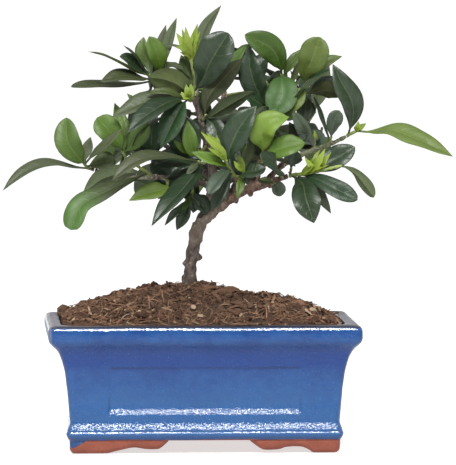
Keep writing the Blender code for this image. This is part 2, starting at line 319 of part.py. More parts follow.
# outline of the crown's thick middle on the grid, and the clear places in it (u, v, radius)
CROWN = [
    (88, 150), (94, 124), (122, 100), (104, 84), (122, 62), (148, 44), (172, 38), (200, 40), (236, 42), (262, 34),
    (284, 52), (306, 54), (326, 44), (338, 66), (356, 92), (350, 122), (330, 128), (342, 154), (338, 166), (318, 178),
    (312, 205), (300, 205), (290, 178), (262, 182), (236, 186), (222, 196), (206, 214), (186, 214), (160, 206), (132, 196),
    (112, 190), (92, 196), (84, 172),
]
CLEAR = [(229, 88, 7), (216, 106, 6), (321, 114, 9), (338, 104, 7), (230, 192, 8), (192, 215, 5), (276, 168, 3)]


# ---------------------------------------------------------------- leaf shape
# leaves that are widest away from their middle: place of the greatest width, fullness before and after it
FULLNESS = {"blunt": (0.7, 0.8, 0.5), "spoon": (0.84, 0.9, 0.33), "spear": (0.64, 0.85, 0.85), "heart": (0.38, 0.6, 0.95)}


def outline(x, tip):
    """Half width of a leaf blade over its greatest half width, at x from 0 at the stalk to 1 at the tip."""
    x = min(max(x, 0.0), 1.0)
    if tip == "round":
        return max(0.0, math.sin(math.pi * x**1.18)) ** 0.62
    if tip == "bud":
        return max(0.0, math.sin(math.pi * x**0.8)) ** 0.9
    if tip in FULLNESS:
        peak, before, after = FULLNESS[tip]
        if x < peak:
            return math.sin(0.5 * math.pi * x / peak) ** before
        return max(0.0, math.cos(0.5 * math.pi * (x - peak) / (1.0 - peak))) ** after
    return max(0.0, math.sin(math.pi * x**1.02)) ** 0.9


class Leaf:
    def __init__(self, shoot, points, width, face, fold, tip, tone):
        self.shoot, self.points, self.width = shoot, points, width
        self.fold, self.tip, self.tone = math.radians(fold), tip, tone
        turn, rise = math.radians(face[0]), math.radians(face[1])
        self.hint = (TO_VIEWER * math.cos(turn) + RIGHT * math.sin(turn)) * math.cos(rise) + Vector((0, 0, math.sin(rise)))
        self.start = 0.0 if tip == "bud" else 0.09
        self.plain = False

    def frames(self, steps):
        """Midrib points with the direction along, the upper face's normal and the direction across."""
        line = spline(self.points, steps)
        out = []
        for i, p in enumerate(line):
            along = (line[min(i + 1, steps)] - line[max(i - 1, 0)]).normalized()
            normal = (self.hint - along * self.hint.dot(along)).normalized()
            out.append((p, along, normal, along.cross(normal).normalized()))
        return out

    def moved(self, push):
        """The same leaf with its tip pushed in depth, and the points before it by less."""
        count = len(self.points) - 1
        points = [self.points[0]]
        for i, p in enumerate(self.points[1:], 1):
            u, v = seen(p)
            points.append(at(u, v, p.y + push * (0.35 + 0.65 * i / count)))
        other = Leaf(self.shoot, points, self.width, (0, 0), 0, self.tip, self.tone)
        other.hint, other.fold, other.plain = self.hint, self.fold, self.plain
        return other


def leaf_rings(leaf, grow=0.0):
    """Four points a section: one edge, midrib above, the other edge, midrib below; the last section is the tip."""
    steps = 40
    frames = leaf.frames(steps)
    small = leaf.width < 5.5
    if leaf.tip == "bud":
        stations = [0.0, 0.4]
    elif leaf.plain:
        stations = [0.0, 0.12, 0.57]
    else:
        stations = [0.0, 0.11, 0.5, 0.8] if small else [0.0, 0.1, 0.42, 0.78]
        if leaf.tip in ("blunt", "spoon"):
            stations = [0.0, 0.1, 0.55, 0.9]
    rings = []
    for s in stations:
        p, along, normal, across = frames[round(s * steps)]
        x = (s - leaf.start) / (1.0 - leaf.start)
        half = 0.5 * leaf.width * outline(x, leaf.tip) if s > leaf.start + 0.02 else 0.0
        half = max(half, 0.62 if s else 0.42)
        thick = (0.42 if s else 0.36) + grow
        fold = leaf.fold if half > 1.0 else 0.0
        side = across * ((half + grow) * math.cos(fold))
        lift = normal * (half * math.sin(fold))
        rings.append([p + side + lift, p + normal * thick, p - side + lift, p - normal * thick])
    return rings, frames[-1][0] + frames[-1][1] * grow


def leaf_mesh(leaf, grow=0.0):
    rings, tip = leaf_rings(leaf, grow)
    verts = [p for ring in rings for p in ring] + [tip]
    faces = [(0, 3, 2, 1)]
    for i in range(len(rings) - 1):
        for k in range(4):
            a, b = 4 * i + k, 4 * i + (k + 1) % 4
            # the upper and the lower face of each half are split along the same line
            faces += [(a, b, b + 4), (a, b + 4, a + 4)] if k % 2 == 0 else [(a, b, a + 4), (b, b + 4, a + 4)]
    last = 4 * (len(rings) - 1)
    faces += [(last + k, last + (k + 1) % 4, len(verts) - 1) for k in range(4)]
    return verts, faces


# ---------------------------------------------------------------- placing the tree's pieces
def inside(polygon, u, v):
    odd = False
    for i in range(len(polygon)):
        (u1, v1), (u2, v2) = polygon[i], polygon[i - 1]
        if (v1 > v) != (v2 > v) and u < (u2 - u1) * (v - v1) / (v2 - v1) + u1:
            odd = not odd
    return odd


def in_crown(leaf):
    for p, _, _, across in leaf.frames(8)[2:]:
        for q in (p, p + across * (0.3 * leaf.width), p - across * (0.3 * leaf.width)):
            u, v = seen(q)
            if not inside(CROWN, u, v) or any(math.hypot(u - cu, v - cv) < r for cu, cv, r in CLEAR):
                return False
    return True


def tube_mesh(points, radii, sides=6):
    """A tapered tube through the points, for finding what is in the way."""
    verts, faces = [], []
    for i, p in enumerate(points):
        along = (points[min(i + 1, len(points) - 1)] - points[max(i - 1, 0)]).normalized()
        a = along.orthogonal().normalized()
        b = along.cross(a)
        verts += [p + (a * math.cos(2 * math.pi * k / sides) + b * math.sin(2 * math.pi * k / sides)) * radii[i] for k in range(sides)]
    for i in range(len(points) - 1):
        for k in range(sides):
            m = (k + 1) % sides
            faces.append((i * sides + k, i * sides + m, (i + 1) * sides + m, (i + 1) * sides + k))
    return verts, faces


def resample(points, radii, steps):
    line = spline(points, steps)
    knots = [0.0]
    for p, q in zip(points, points[1:]):
        knots.append(knots[-1] + (q - p).length)
    out = []
    for i in range(steps + 1):
        want = knots[-1] * i / steps
        j = max(k for k in range(len(knots) - 1) if knots[k] <= want + 1e-9)
        f = (want - knots[j]) / max(knots[j + 1] - knots[j], 1e-9)
        out.append(radii[j] + (radii[j + 1] - radii[j]) * min(1.0, f))
    return line, out


class Tree:
    """The woody frame, the green stems and the leaves, all in millimetres from the pot's middle."""

    def __init__(self):
        self.wood = {}
        for name, (_, points, radii) in WOOD.items():
            self.wood[name] = resample([at(*p) for p in points], radii, (2 if name in ("trunk", "right") else 1) * (len(points) - 1) + 1)
        self.stems, self.leaves = {}, []
        self.blocks = []
        for name, (points, radii) in self.wood.items():
            self.block(name, *tube_mesh(points, [r + 0.35 for r in radii]))
        for name, (host, points, r0, r1) in SHOOTS.items():
            self.grow_stem(name, host, [at(*p) for p in points], r0, r1)
        rng = random.Random(SEED)
        for name, host, tip, _ in BACK_SHOOTS:
            self.grow_stem(name, host, [at(*tip)], 0.95, 0.7)
        for name, (points, radii) in self.stems.items():
            self.block(name, *tube_mesh(points, [r + 0.35 for r in radii]))
        for shoot, place, points, width, face, fold, tip, tone in LEAVES:
            start = self.on_stem(shoot, place)
            leaf = Leaf(shoot, [start] + [at(*p) for p in points], width, face, fold, tip, tone)
            self.settle(leaf)
        for name, _, _, count in BACK_SHOOTS:
            self.leaf_out(name, count, rng)
        for name in ("shoot_high_mid", "shoot_high_front", "shoot_high_far_low", "shoot_left_rise", "shoot_right_mid",
                     "shoot_right_low_dark", "shoot_top_back"):
            self.leaf_out(name, 1, rng)

    def block(self, owner, verts, faces):
        self.blocks.append((owner, BVHTree.FromPolygons(verts, faces)))

    def grow_stem(self, name, host, points, r0, r1):
        """A green stem that starts a little off its branch's bark, or off the branch's end."""
        line, radii = self.wood[host]
        foot, size, run, near = None, 0.0, None, 1e9
        for i in range(len(line) - 1):
            span = line[i + 1] - line[i]
            f = min(1.0, max(0.0, (points[0] - line[i]).dot(span) / span.length_squared))
            p = line[i].lerp(line[i + 1], f)
            if (points[0] - p).length < near:
                foot, size, run, near = p, radii[i] + (radii[i + 1] - radii[i]) * f, span.normalized(), (points[0] - p).length
        way = (points[0] - foot).normalized()
        slope = way.dot(run)
        off = (size + 0.4 + r0 * abs(slope)) / max(0.2, math.sqrt(max(0.0, 1.0 - slope * slope)))
        if (foot - line[-1]).length < 0.01 and slope > 0.1:
            off = min(off, (0.4 + r0 * math.sqrt(max(0.0, 1.0 - slope * slope))) / slope)
        start = foot + way * off
        if (points[0] - start).length < 2.5 and len(points) > 1:
            points = points[1:]
        path = [start] + spline([start + way] + points, max(2, 2 * len(points) - 1))
        count = len(path)
        self.stems[name] = (path, [r0 + (r1 - r0) * i / (count - 1) for i in range(count)])

    def on_stem(self, name, place):
        """A point on the stem's axis, at least 0.6 mm before its tip."""
        points, _ = self.stems[name]
        f = max(place, 0.12) * (len(points) - 1)
        f = min(f, len(points) - 1 - 0.6 / (points[-1] - points[-2]).length)
        i = min(int(f), len(points) - 2)
        return points[i].lerp(points[i + 1], f - i)

    def free(self, leaf):
        mine = BVHTree.FromPolygons(*leaf_mesh(leaf, 0.33))
        return not any(owner != leaf.shoot and tree.overlap(mine) for owner, tree in self.blocks)

    def settle(self, leaf, pushes=(0, 3, -3, 6, -6, 9, -9, 12, -12, 15, -15, 18, 22)):
        for push in pushes:
            trial = leaf.moved(push) if push else leaf
            if self.free(trial):
                self.leaves.append(trial)
                self.block(trial.shoot, *leaf_mesh(trial))
                return True
        LEFT_OUT.append((leaf.shoot, [round(c) for c in seen(leaf.points[-1])]))
        return False

    def leaf_out(self, name, count, rng):
        """Leaves in whorls round a stem's tip, each where the crown has room for it."""
        points, _ = self.stems[name]
        axis = (points[-1] - points[-2]).normalized()
        a = axis.orthogonal().normalized()
        b = axis.cross(a)
        turn = rng.uniform(0, 360)
        placed = 0
        for k in range(count * 9):
            if placed == count:
                break
            angle = math.radians(turn + 137.5 * k + rng.uniform(-20, 20))
            spread = math.radians(rng.uniform(38, 78))
            length = rng.uniform(24, 40)
            way = axis * math.cos(spread) + (a * math.cos(angle) + b * math.sin(angle)) * math.sin(spread)
            way.z = max(way.z, -0.35)
            way.normalize()
            start = self.on_stem(name, rng.uniform(0.72, 0.99))
            droop = rng.uniform(0.02, 0.2)
            path = [start, start + way * (0.16 * length), start + way * (0.55 * length) + Vector((0, 0, 0.05 * length)),
                    start + way * length - Vector((0, 0, droop * length))]
            leaf = Leaf(name, path, length * rng.uniform(0.33, 0.42), (0, 0), rng.uniform(10, 18), rng.choice(["acute", "acute", "round"]),
                        rng.choice(["dark", "dark", "green", "mid", "grey", "light"]))
            leaf.plain = True
            leaf.hint = (Vector((0, 0, 1.0)) + axis * 0.5 - way * 0.3 + Vector((rng.uniform(-0.3, 0.3), rng.uniform(-0.3, 0.3), 0))).normalized()
            if in_crown(leaf) and self.free(leaf):
                self.leaves.append(leaf)
                self.block(name, *leaf_mesh(leaf))
                placed += 1


LEFT_OUT = []


# ---------------------------------------------------------------- meshes and materials
def clear_scene():
    for obj in list(bpy.data.objects):
        bpy.data.objects.remove(obj, do_unlink=True)
    for mesh in list(bpy.data.meshes):
        bpy.data.meshes.remove(mesh)


def collection(name):
    made = bpy.data.collections.new(name)
    bpy.context.scene.collection.children.link(made)
    return made


def material(name, colour, roughness):
    mat = bpy.data.materials.new(name)
    mat.use_nodes = True
    shader = mat.node_tree.nodes["Principled BSDF"]
    shader.inputs["Base Color"].default_value = (*colour, 1.0)
    shader.inputs["Roughness"].default_value = roughness
    shader.inputs["Metallic"].default_value = 0.0
    mat.diffuse_color = (*colour, 1.0)
    return mat


def place(p):
    """Millimetres from the pot's middle to metres from the object's origin."""
    return Vector(((p[0] + POT_X) * MM, (p[1] + POT_Y) * MM, p[2] * MM))


def solid(name, verts, faces, where, split=False):
    mesh = bpy.data.meshes.new(name)
    mesh.from_pydata([place(p) for p in verts], [], faces)
    bm = bmesh.new()
    bm.from_mesh(mesh)
    bmesh.ops.recalc_face_normals(bm, faces=bm.faces)
    if split:
        bmesh.ops.triangulate(bm, faces=bm.faces)
    bm.to_mesh(mesh)
    bm.free()
    obj = bpy.data.objects.new(name, mesh)
    where.objects.link(obj)
    return obj


def tube(name, points, radii, where, sides_resolution=1):
    """A tapered round bar along the points, as a curve turned into a closed mesh."""
    curve = bpy.data.curves.new(name, "CURVE")
    curve.dimensions = "3D"
    curve.bevel_depth = 1.0 * MM
    curve.bevel_resolution = sides_resolution
    curve.use_fill_caps = True
    curve.twist_mode = "MINIMUM"
    line = curve.splines.new("POLY")
    line.points.add(len(points) - 1)
    for point, p, r in zip(line.points, points, radii):
        point.co = (*place(p), 1.0)
        point.radius = r
    holder = bpy.data.objects.new(name + "_path", curve)
    where.objects.link(holder)
    bpy.context.view_layer.update()
    graph = bpy.context.evaluated_depsgraph_get()
    mesh = bpy.data.meshes.new_from_object(holder.evaluated_get(graph))
    bm = bmesh.new()
    bm.from_mesh(mesh)
    bmesh.ops.remove_doubles(bm, verts=bm.verts, dist=0.000001)
    bmesh.ops.recalc_face_normals(bm, faces=bm.faces)
    bm.to_mesh(mesh)
    bm.free()
    obj = bpy.data.objects.new(name, mesh)
    obj.matrix_world = holder.matrix_world
    where.objects.link(obj)
    bpy.data.objects.remove(holder, do_unlink=True)
    bpy.data.curves.remove(curve)
    return obj


def helper(obj):
    obj.hide_render = True
    obj.display_type = "WIRE"
    return obj


def volume(mesh):
    """The volume of a mesh that is one closed body, or 0."""
    bm = bmesh.new()
    bm.from_mesh(mesh)
    size = bm.calc_volume(signed=True)
    reached, waiting = set(), bm.faces[:][:1]
    while waiting:
        face = waiting.pop()
        if face not in reached:
            reached.add(face)
            waiting += [other for edge in face.edges for other in edge.link_faces if other not in reached]
    whole = all(edge.is_manifold for edge in bm.edges) and len(reached) == len(bm.faces)
    bm.free()
    return size if whole else 0.0


def result_of(obj, other, operation, solver):
    """The mesh of one Boolean step, without doubled points."""
    step = obj.modifiers.new(operation.title() + "_" + other.name, "BOOLEAN")
    step.operation = operation
    step.solver = solver
    step.object = helper(other)
    bpy.context.view_layer.update()
    mesh = bpy.data.meshes.new_from_object(obj.evaluated_get(bpy.context.evaluated_depsgraph_get()))
    obj.modifiers.clear()
    bm = bmesh.new()
    bm.from_mesh(mesh)
    bmesh.ops.remove_doubles(bm, verts=bm.verts, dist=0.000004)
    bmesh.ops.dissolve_degenerate(bm, edges=bm.edges, dist=0.000004)
    bm.to_mesh(mesh)
    bm.free()
    return mesh


def combine(obj, others, operation):
    """Joins the others to the body, or cuts them out of it, in turn; a step that fails is made again with the piece turned a little."""
    for other in others:
        own, piece = volume(obj.data), volume(other.data)
        least, most = (max(own, piece), own + piece) if operation == "UNION" else (own - piece, own)
        shape = [v.co.copy() for v in other.data.vertices]
        axis = (shape[-1] - shape[0]).normalized()
        for turn in range(10):
            spin = Matrix.Rotation(math.radians(0.7 * turn), 3, axis)
            for v, co in zip(other.data.vertices, shape):
                v.co = shape[0] + spin @ (co - shape[0])
            other.data.update()
            mesh = result_of(obj, other, operation, "EXACT" if turn < 7 else "MANIFOLD")
            if least * 0.9999 <= volume(mesh) <= most * 1.0001:
                obj.data = mesh
                TURNED.append((obj.name, other.name, turn)) if turn else None
                break
        else:
            NOT_JOINED.append((obj.name, other.name))
    bm = bmesh.new()
    bm.from_mesh(obj.data)
    bmesh.ops.triangulate(bm, faces=bm.faces)
    bm.to_mesh(obj.data)
    bm.free()
    return obj


NOT_JOINED = []
TURNED = []


def finish(obj, mat, smooth=False):
    obj.data.materials.clear()
    obj.data.materials.append(mat)
    if smooth:
        obj.data.shade_smooth()
        obj.data.set_sharp_from_angle(angle=math.radians(40))
    return obj


# ---------------------------------------------------------------- the pot
def rounded_rectangle(half_x, half_y, radius, steps=2):
    points = []
    for cx, cy, first in ((1, -1, -90), (1, 1, 0), (-1, 1, 90), (-1, -1, 180)):
        for k in range(steps + 1):
            angle = math.radians(first + 90.0 * k / steps)
            points.append((cx * (half_x - radius) + radius * math.cos(angle), cy * (half_y - radius) + radius * math.sin(angle)))
    return points


def loft(name, sections, where, split=False):
    """A closed body through rings of equal count, with flat ends."""
    count = len(sections[0])
    verts = [p for ring in sections for p in ring]
    faces = [tuple(reversed(range(count)))]
    for i in range(len(sections) - 1):
        for k in range(count):
            m = (k + 1) % count
            faces.append((i * count + k, i * count + m, (i + 1) * count + m, (i + 1) * count + k))
    faces.append(tuple((len(sections) - 1) * count + k for k in range(count)))
    return solid(name, verts, faces, where, split)


def pot_ring(z, inset, radius):
    return [(x, y, z) for x, y in rounded_rectangle(POT_LENGTH / 2 - inset, POT_DEPTH / 2 - inset, radius, 4)]


def lean(x, y, z):
    """x of a point of the outer wall: below the rim the left face turns in towards the back."""
    if x > 0.0 or z > 50.0:
        return x
    return x + LEFT_TURN * min(1.0, max(0.0, (y + 47.0) / 94.0)) * min(1.0, (50.0 - z) / 6.0) * min(1.0, -x / 64.0)


def inset_at(z):
    for (z1, i1), (z2, i2) in zip(POT_PROFILE, POT_PROFILE[1:]):
        if z2 <= z <= z1:
            return i1 + (i2 - i1) * (z1 - z) / (z1 - z2)
    return POT_PROFILE[-1][1]


def cavity_inset(z):
    """Inner face of the wall, straight down from the rim and then parallel to the outer face."""
    return max(RIM_WIDTH, inset_at(z) + 4.6)


def lean_in(obj):
    """Moves a foot or a cutter with the wall that it belongs to."""
    for v in obj.data.vertices:
        x, y, z = v.co.x / MM - POT_X, v.co.y / MM - POT_Y, v.co.z / MM
        v.co.x = (lean(x, y, z) + POT_X) * MM


def prism_x(name, outline_yz, x1, x2, where):
    count = len(outline_yz)
    verts = [(x1, y, z) for y, z in outline_yz] + [(x2, y, z) for y, z in outline_yz]
    faces = [tuple(range(count)), tuple(reversed(range(count, 2 * count)))]
    faces += [(k, k + count, (k + 1) % count + count, (k + 1) % count) for k in range(count)]
    return solid(name, verts, faces, where)


def prism_y(name, outline_xz, y1, y2, where):
    count = len(outline_xz)
    verts = [(x, y1, z) for x, z in outline_xz] + [(x, y2, z) for x, z in outline_xz]
    faces = [tuple(range(count)), tuple(reversed(range(count, 2 * count)))]
    faces += [(k, k + count, (k + 1) % count + count, (k + 1) % count) for k in range(count)]
    return solid(name, verts, faces, where)


# lower edge of a cloud foot: distance from the pot's middle, height; the longer one is on the left
FOOT_RIGHT = [(65.6, 9.0), (65.6, 2.8), (64.7, 0.9), (62.7, 0.0), (53.2, 0.0), (51.0, 1.2), (46.7, 2.9), (39.8, 2.8), (36.0, 1.7), (29.8, 1.4), (27.0, 2.2), (22.2, 5.6), (22.2, 9.0)]
FOOT_LEFT = [(65.6, 9.0), (65.6, 2.8), (64.8, 0.8), (62.9, 0.0), (48.8, 0.0), (44.0, 0.9), (40.8, 1.6), (34.5, 2.8), (28.6, 2.0), (22.9, 2.0), (20.6, 3.2), (17.7, 5.8), (17.7, 9.0)]
FOOT_SIDE = [(46.6, 9.0), (46.6, 2.8), (45.7, 0.8), (43.7, 0.0), (34.5, 0.0), (32.4, 1.2), (29.0, 2.7), (24.4, 2.6), (21.6, 1.7), (17.2, 1.5), (15.2, 2.4), (12.4, 5.6), (12.4, 9.0)]
FOOT_THICK = 10.0
FOOT_FRONT, FOOT_END = 46.6, 65.6


def make_pot(parts, cutters):
    rings = [[(lean(*p), p[1], p[2]) for p in pot_ring(z, i, 3.2 if i < 3 else 2.6)] for z, i in reversed(POT_PROFILE)]
    inner = [(62.5, 5.0), (61.6, RIM_WIDTH), (50.0, cavity_inset(50.0)), (44.0, cavity_inset(44.0)), (30.0, cavity_inset(30.0)), (14.5, cavity_inset(14.5)), (CAVITY_FLOOR, cavity_inset(14.5) + 2.0)]
    rings += [pot_ring(z, i, INNER_CORNER) for z, i in inner]
    pot = loft("pot", rings, parts)
    feet = []
    for side, shape in ((1, FOOT_RIGHT), (-1, FOOT_LEFT)):
        for end in (-1, 1):
            near, far = end * FOOT_FRONT, end * (FOOT_FRONT - FOOT_THICK)
            feet.append(prism_y("foot_front", [(side * a, z) for a, z in shape], near, far, cutters))
            near, far = side * FOOT_END, side * (FOOT_END - FOOT_THICK)
            feet.append(prism_x("foot_side", [(end * a, z) for a, z in FOOT_SIDE], near, far, cutters))
    for foot in feet:
        lean_in(foot)
    combine(pot, feet, "UNION")
    cuts = []
    heights = [42.5, 38.0, 33.0, 27.0, 19.5]
    for end in (-1, 1):
        face = [(end * (POT_DEPTH / 2 - inset_at(z) - 0.9), z) for z in heights]
        cuts.append(prism_x("panel_front", face + [(end * 60.0, 19.5), (end * 60.0, 42.5)], -46.6, 46.6, cutters))
        face = [(end * (POT_LENGTH / 2 - inset_at(z) - 0.9), z) for z in heights]
        cuts.append(prism_y("panel_side", face + [(end * 79.0, 19.5), (end * 79.0, 42.5)], -28.0, 28.0, cutters))
        lean_in(cuts[-1])
        drain = bmesh.new()
        bmesh.ops.create_cone(drain, cap_ends=True, segments=12, radius1=DRAIN_HOLE_R * MM, radius2=DRAIN_HOLE_R * MM, depth=12 * MM)
        bmesh.ops.translate(drain, verts=drain.verts, vec=place((end * DRAIN_HOLE_X, 0, 9.0)))
        mesh = bpy.data.meshes.new("drain")
        drain.to_mesh(mesh)
        drain.free()
        obj = bpy.data.objects.new("drain", mesh)
        cutters.objects.link(obj)
        cuts.append(obj)
    return combine(pot, cuts, "DIFFERENCE")


def make_screen(name, x, parts, cutters):
    """A plastic mesh square over a drain hole."""
    low, high = CAVITY_FLOOR + GAP, CAVITY_FLOOR + GAP + SCREEN_THICK
    half = SCREEN_SIDE / 2
    screen = loft(name, [[(x + a, b, z) for a, b in rounded_rectangle(half, half, 1.0, 1)] for z in (low, high)], parts)
    cuts = []
    for i in range(4):
        for j in range(4):
            cx, cy = x + (i - 1.5) * 4.8, (j - 1.5) * 4.8
            cuts.append(prism_y("screen_cut", [(cx - 1.7, low - 1), (cx + 1.7, low - 1), (cx + 1.7, high + 1), (cx - 1.7, high + 1)], cy - 1.7, cy + 1.7, cutters))
    return combine(screen, cuts, "DIFFERENCE")


# ---------------------------------------------------------------- soil and roots
ROOTS = [
    ([(0.0, 0.0, 84.0), (0.2, 0.3, 76.0), (-0.4, 0.6, 66.0), (0.0, 0.0, 54.0)], [3.5, 4.6, 3.2, 1.6]),
    ([(0.0, 0.0, 78.5), (-7.0, -5.0, 73.0), (-16.0, -10.0, 66.0)], [2.4, 1.9, 1.1]),
    ([(0.0, 0.0, 78.5), (8.0, -4.0, 73.0), (17.0, -7.0, 65.0)], [2.4, 1.8, 1.1]),
    ([(0.0, 0.0, 78.5), (1.0, 8.0, 72.5), (4.0, 17.0, 64.0)], [2.3, 1.8, 1.0]),
]


def trunk_foot():
    """Where the trunk's axis meets the soil."""
    return at(189.5, 284, 0)


def mound(x, y):
    """Height of the soil's surface: a mound that falls to the rim's level at the walls."""
    fx, fy = min(1.0, abs(x + 4) / 75.0), min(1.0, abs(y) / 51.0)
    body = (1.0 - fx**1.7) * (1.0 - 0.8 * fy**1.8)
    ripple = 0.55 * math.sin(0.31 * x + 0.6) * math.cos(0.27 * y) + 0.4 * math.sin(0.73 * x - 0.41 * y + 1.3)
    height = 64.0 + (SOIL_PEAK - 64.0) * body + ripple
    qx, qy = abs(x) - (68.7 - INNER_CORNER), abs(y) - (49.7 - INNER_CORNER)
    away = max(0.0, INNER_CORNER - (math.hypot(qx, qy) if qx > 0 and qy > 0 else max(qx, qy)))
    return 62.6 + (height - 62.6) * (1.0 - math.exp(-away / 5.5))


def make_soil(parts, cutters, root_shapes):
    wall = GAP + 0.05
    low = CAVITY_FLOOR + 2 * GAP + SCREEN_THICK + 0.1
    rings = []
    for z in (low, low + 2.4, 30.0, 44.0, 50.0, 61.6):
        inset = cavity_inset(max(z, 14.5)) + wall + (1.4 if z == low else 0.0)
        rings.append([(x, y, z) for x, y in rounded_rectangle(POT_LENGTH / 2 - inset, POT_DEPTH / 2 - inset, INNER_CORNER - wall, 4)])
    base = rounded_rectangle(POT_LENGTH / 2 - RIM_WIDTH - wall, POT_DEPTH / 2 - RIM_WIDTH - wall, INNER_CORNER - wall, 4)
    # the ring is refined along its straight sides, so that the mound's edge is not a plain rectangle
    dense = []
    for i, p in enumerate(base):
        q = base[(i + 1) % len(base)]
        gap = math.hypot(q[0] - p[0], q[1] - p[1])
        cuts = max(1, round(gap / 21.0))
        dense += [(p[0] + (q[0] - p[0]) * k / cuts, p[1] + (q[1] - p[1]) * k / cuts) for k in range(cuts)]
    lower = []
    for ring in rings:
        z = ring[0][2]
        line = []
        for i, p in enumerate(ring):
            q = ring[(i + 1) % len(ring)]
            gap = math.hypot(base[(i + 1) % len(base)][0] - base[i][0], base[(i + 1) % len(base)][1] - base[i][1])
            cuts = max(1, round(gap / 21.0))
            line += [(p[0] + (q[0] - p[0]) * k / cuts, p[1] + (q[1] - p[1]) * k / cuts, z) for k in range(cuts)]
        lower.append(line)
    upper = []
    for scale in (1.0, 0.97, 0.86, 0.7, 0.5, 0.3, 0.12):
        ring = []
        for x, y in dense:
            px, py = x * scale, y * scale
            z = mound(px, py)
            ring.append((px, py, z))
        upper.append(ring)
    soil = loft("soil", lower + upper, parts, True)
    return combine(soil, root_shapes, "DIFFERENCE")


# ---------------------------------------------------------------- the tree
def make_wood(tree, parts, cutters):
    foot = trunk_foot()
    points, radii = tree.wood["trunk"]
    trunk = tube("trunk_and_branches", points, radii, parts, 2)
    pieces = []
    for k, (path, sizes) in enumerate(ROOTS):
        shift = Vector((foot.x, foot.y, 0.0))
        pieces.append(tube("root_%d" % k, [Vector(p) + shift for p in path], sizes, cutters, 1))
    for name, (line, sizes) in tree.wood.items():
        if name == "trunk":
            continue
        pieces.append(tube("branch_" + name, line, sizes, cutters, 1))
    return combine(trunk, pieces, "UNION")


def root_cutters(cutters):
    foot = trunk_foot()
    shapes = []
    for k, (path, sizes) in enumerate(ROOTS):
        line = [Vector(p) + Vector((foot.x, foot.y, 0.0)) for p in path]
        last = (line[-1] - line[-2]).normalized()
        line[-1] = line[-1] + last * (GAP + 0.1)
        shapes.append(tube("root_room_%d" % k, line, [r + GAP + 0.1 for r in sizes], cutters, 1))
    points = [at(189.6, 297.2, 0), at(189.4, 284, 0), at(189.9, 278, 0)]
    shapes.append(tube("trunk_room", points, [4.35, 3.6, 3.5], cutters, 2))
    return shapes


def make_shoot(name, tree, parts, cutters):
    points, radii = tree.stems[name]
    stem = tube(name, points, radii, parts, 0)
    blades = []
    for k, leaf in enumerate(leaf for leaf in tree.leaves if leaf.shoot == name):
        verts, faces = leaf_mesh(leaf)
        blades.append(solid("leaf_%s_%d" % (name, k), verts, faces, cutters))
    return combine(stem, blades, "UNION")


COLOURS = {
    "pot": ((0.055, 0.12, 0.34), 0.28),
    "soil": ((0.10, 0.05, 0.03), 0.95),
    "bark": ((0.16, 0.10, 0.075), 0.9),
    "screen": ((0.02, 0.02, 0.02), 0.5),
    "leaf_dark": ((0.03, 0.075, 0.03), 0.35),
    "leaf_light": ((0.13, 0.26, 0.06), 0.4),
}


def main():
    clear_scene()
    parts = collection("gardenia_bonsai")
    cutters = collection("cutters")
    mats = {name: material(name, colour, rough) for name, (colour, rough) in COLOURS.items()}
    tree = Tree()
    pot = finish(make_pot(parts, cutters), mats["pot"], True)
    for name, x in (("drain_screen_left", -DRAIN_HOLE_X), ("drain_screen_right", DRAIN_HOLE_X)):
        finish(make_screen(name, x, parts, cutters), mats["screen"])
    finish(make_soil(parts, cutters, root_cutters(cutters)), mats["soil"])
    finish(make_wood(tree, parts, cutters), mats["bark"], True)
    for name in tree.stems:
        light = sum(leaf.tone in ("light", "lime", "bright", "lightlime") for leaf in tree.leaves if leaf.shoot == name)
        finish(make_shoot(name, tree, parts, cutters), mats["leaf_light" if light > 1 else "leaf_dark"])
    for obj in list(cutters.objects):
        bpy.data.objects.remove(obj, do_unlink=True)
    bpy.data.collections.remove(cutters)
    holder = bpy.data.objects.new("gardenia_bonsai_origin", None)
    parts.objects.link(holder)
    for obj in list(parts.objects):
        if obj is not holder:
            obj.parent = holder
    return tree


if __name__ == "__main__":
    main()
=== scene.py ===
import json
import math
import random

import bmesh
import bpy
from mathutils import Matrix, Vector, noise
from mathutils.bvhtree import BVHTree

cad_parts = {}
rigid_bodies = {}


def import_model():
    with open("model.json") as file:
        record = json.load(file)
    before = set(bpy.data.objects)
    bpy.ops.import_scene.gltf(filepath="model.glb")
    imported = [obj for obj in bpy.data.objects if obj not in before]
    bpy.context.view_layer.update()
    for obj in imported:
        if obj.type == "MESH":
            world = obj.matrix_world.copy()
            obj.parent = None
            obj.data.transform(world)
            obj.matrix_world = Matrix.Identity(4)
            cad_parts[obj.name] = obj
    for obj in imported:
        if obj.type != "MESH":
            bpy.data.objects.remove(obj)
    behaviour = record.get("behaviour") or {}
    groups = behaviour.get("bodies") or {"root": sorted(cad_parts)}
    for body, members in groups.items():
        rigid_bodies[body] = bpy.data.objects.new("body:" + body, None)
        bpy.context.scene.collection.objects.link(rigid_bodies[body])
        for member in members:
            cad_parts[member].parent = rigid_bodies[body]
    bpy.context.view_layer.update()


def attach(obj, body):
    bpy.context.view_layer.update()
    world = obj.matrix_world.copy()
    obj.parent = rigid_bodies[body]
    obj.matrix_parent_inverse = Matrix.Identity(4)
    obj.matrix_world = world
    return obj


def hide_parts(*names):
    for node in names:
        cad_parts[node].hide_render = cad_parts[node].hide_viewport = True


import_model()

MM = 0.001

# ---- driving dimensions, in millimetres ----
POT_LENGTH = 150.0
POT_DEPTH = 112.0
POT_HEIGHT = 62.5
RIM_WIDTH = 6.0
INNER_CORNER = 22.0
LEFT_TURN = 2.5
CAVITY_FLOOR = 12.0
BODY_UNDERSIDE = 6.4
DRAIN_HOLE_R = 6.0
DRAIN_HOLE_X = 36.0
SCREEN_SIDE = 22.0
SCREEN_THICK = 0.9
SOIL_PEAK = 80.5
GAP = 0.3
# the middle of the pot, seen from the middle of the whole object's box
POT_X = -12.45
POT_Y = -15.36
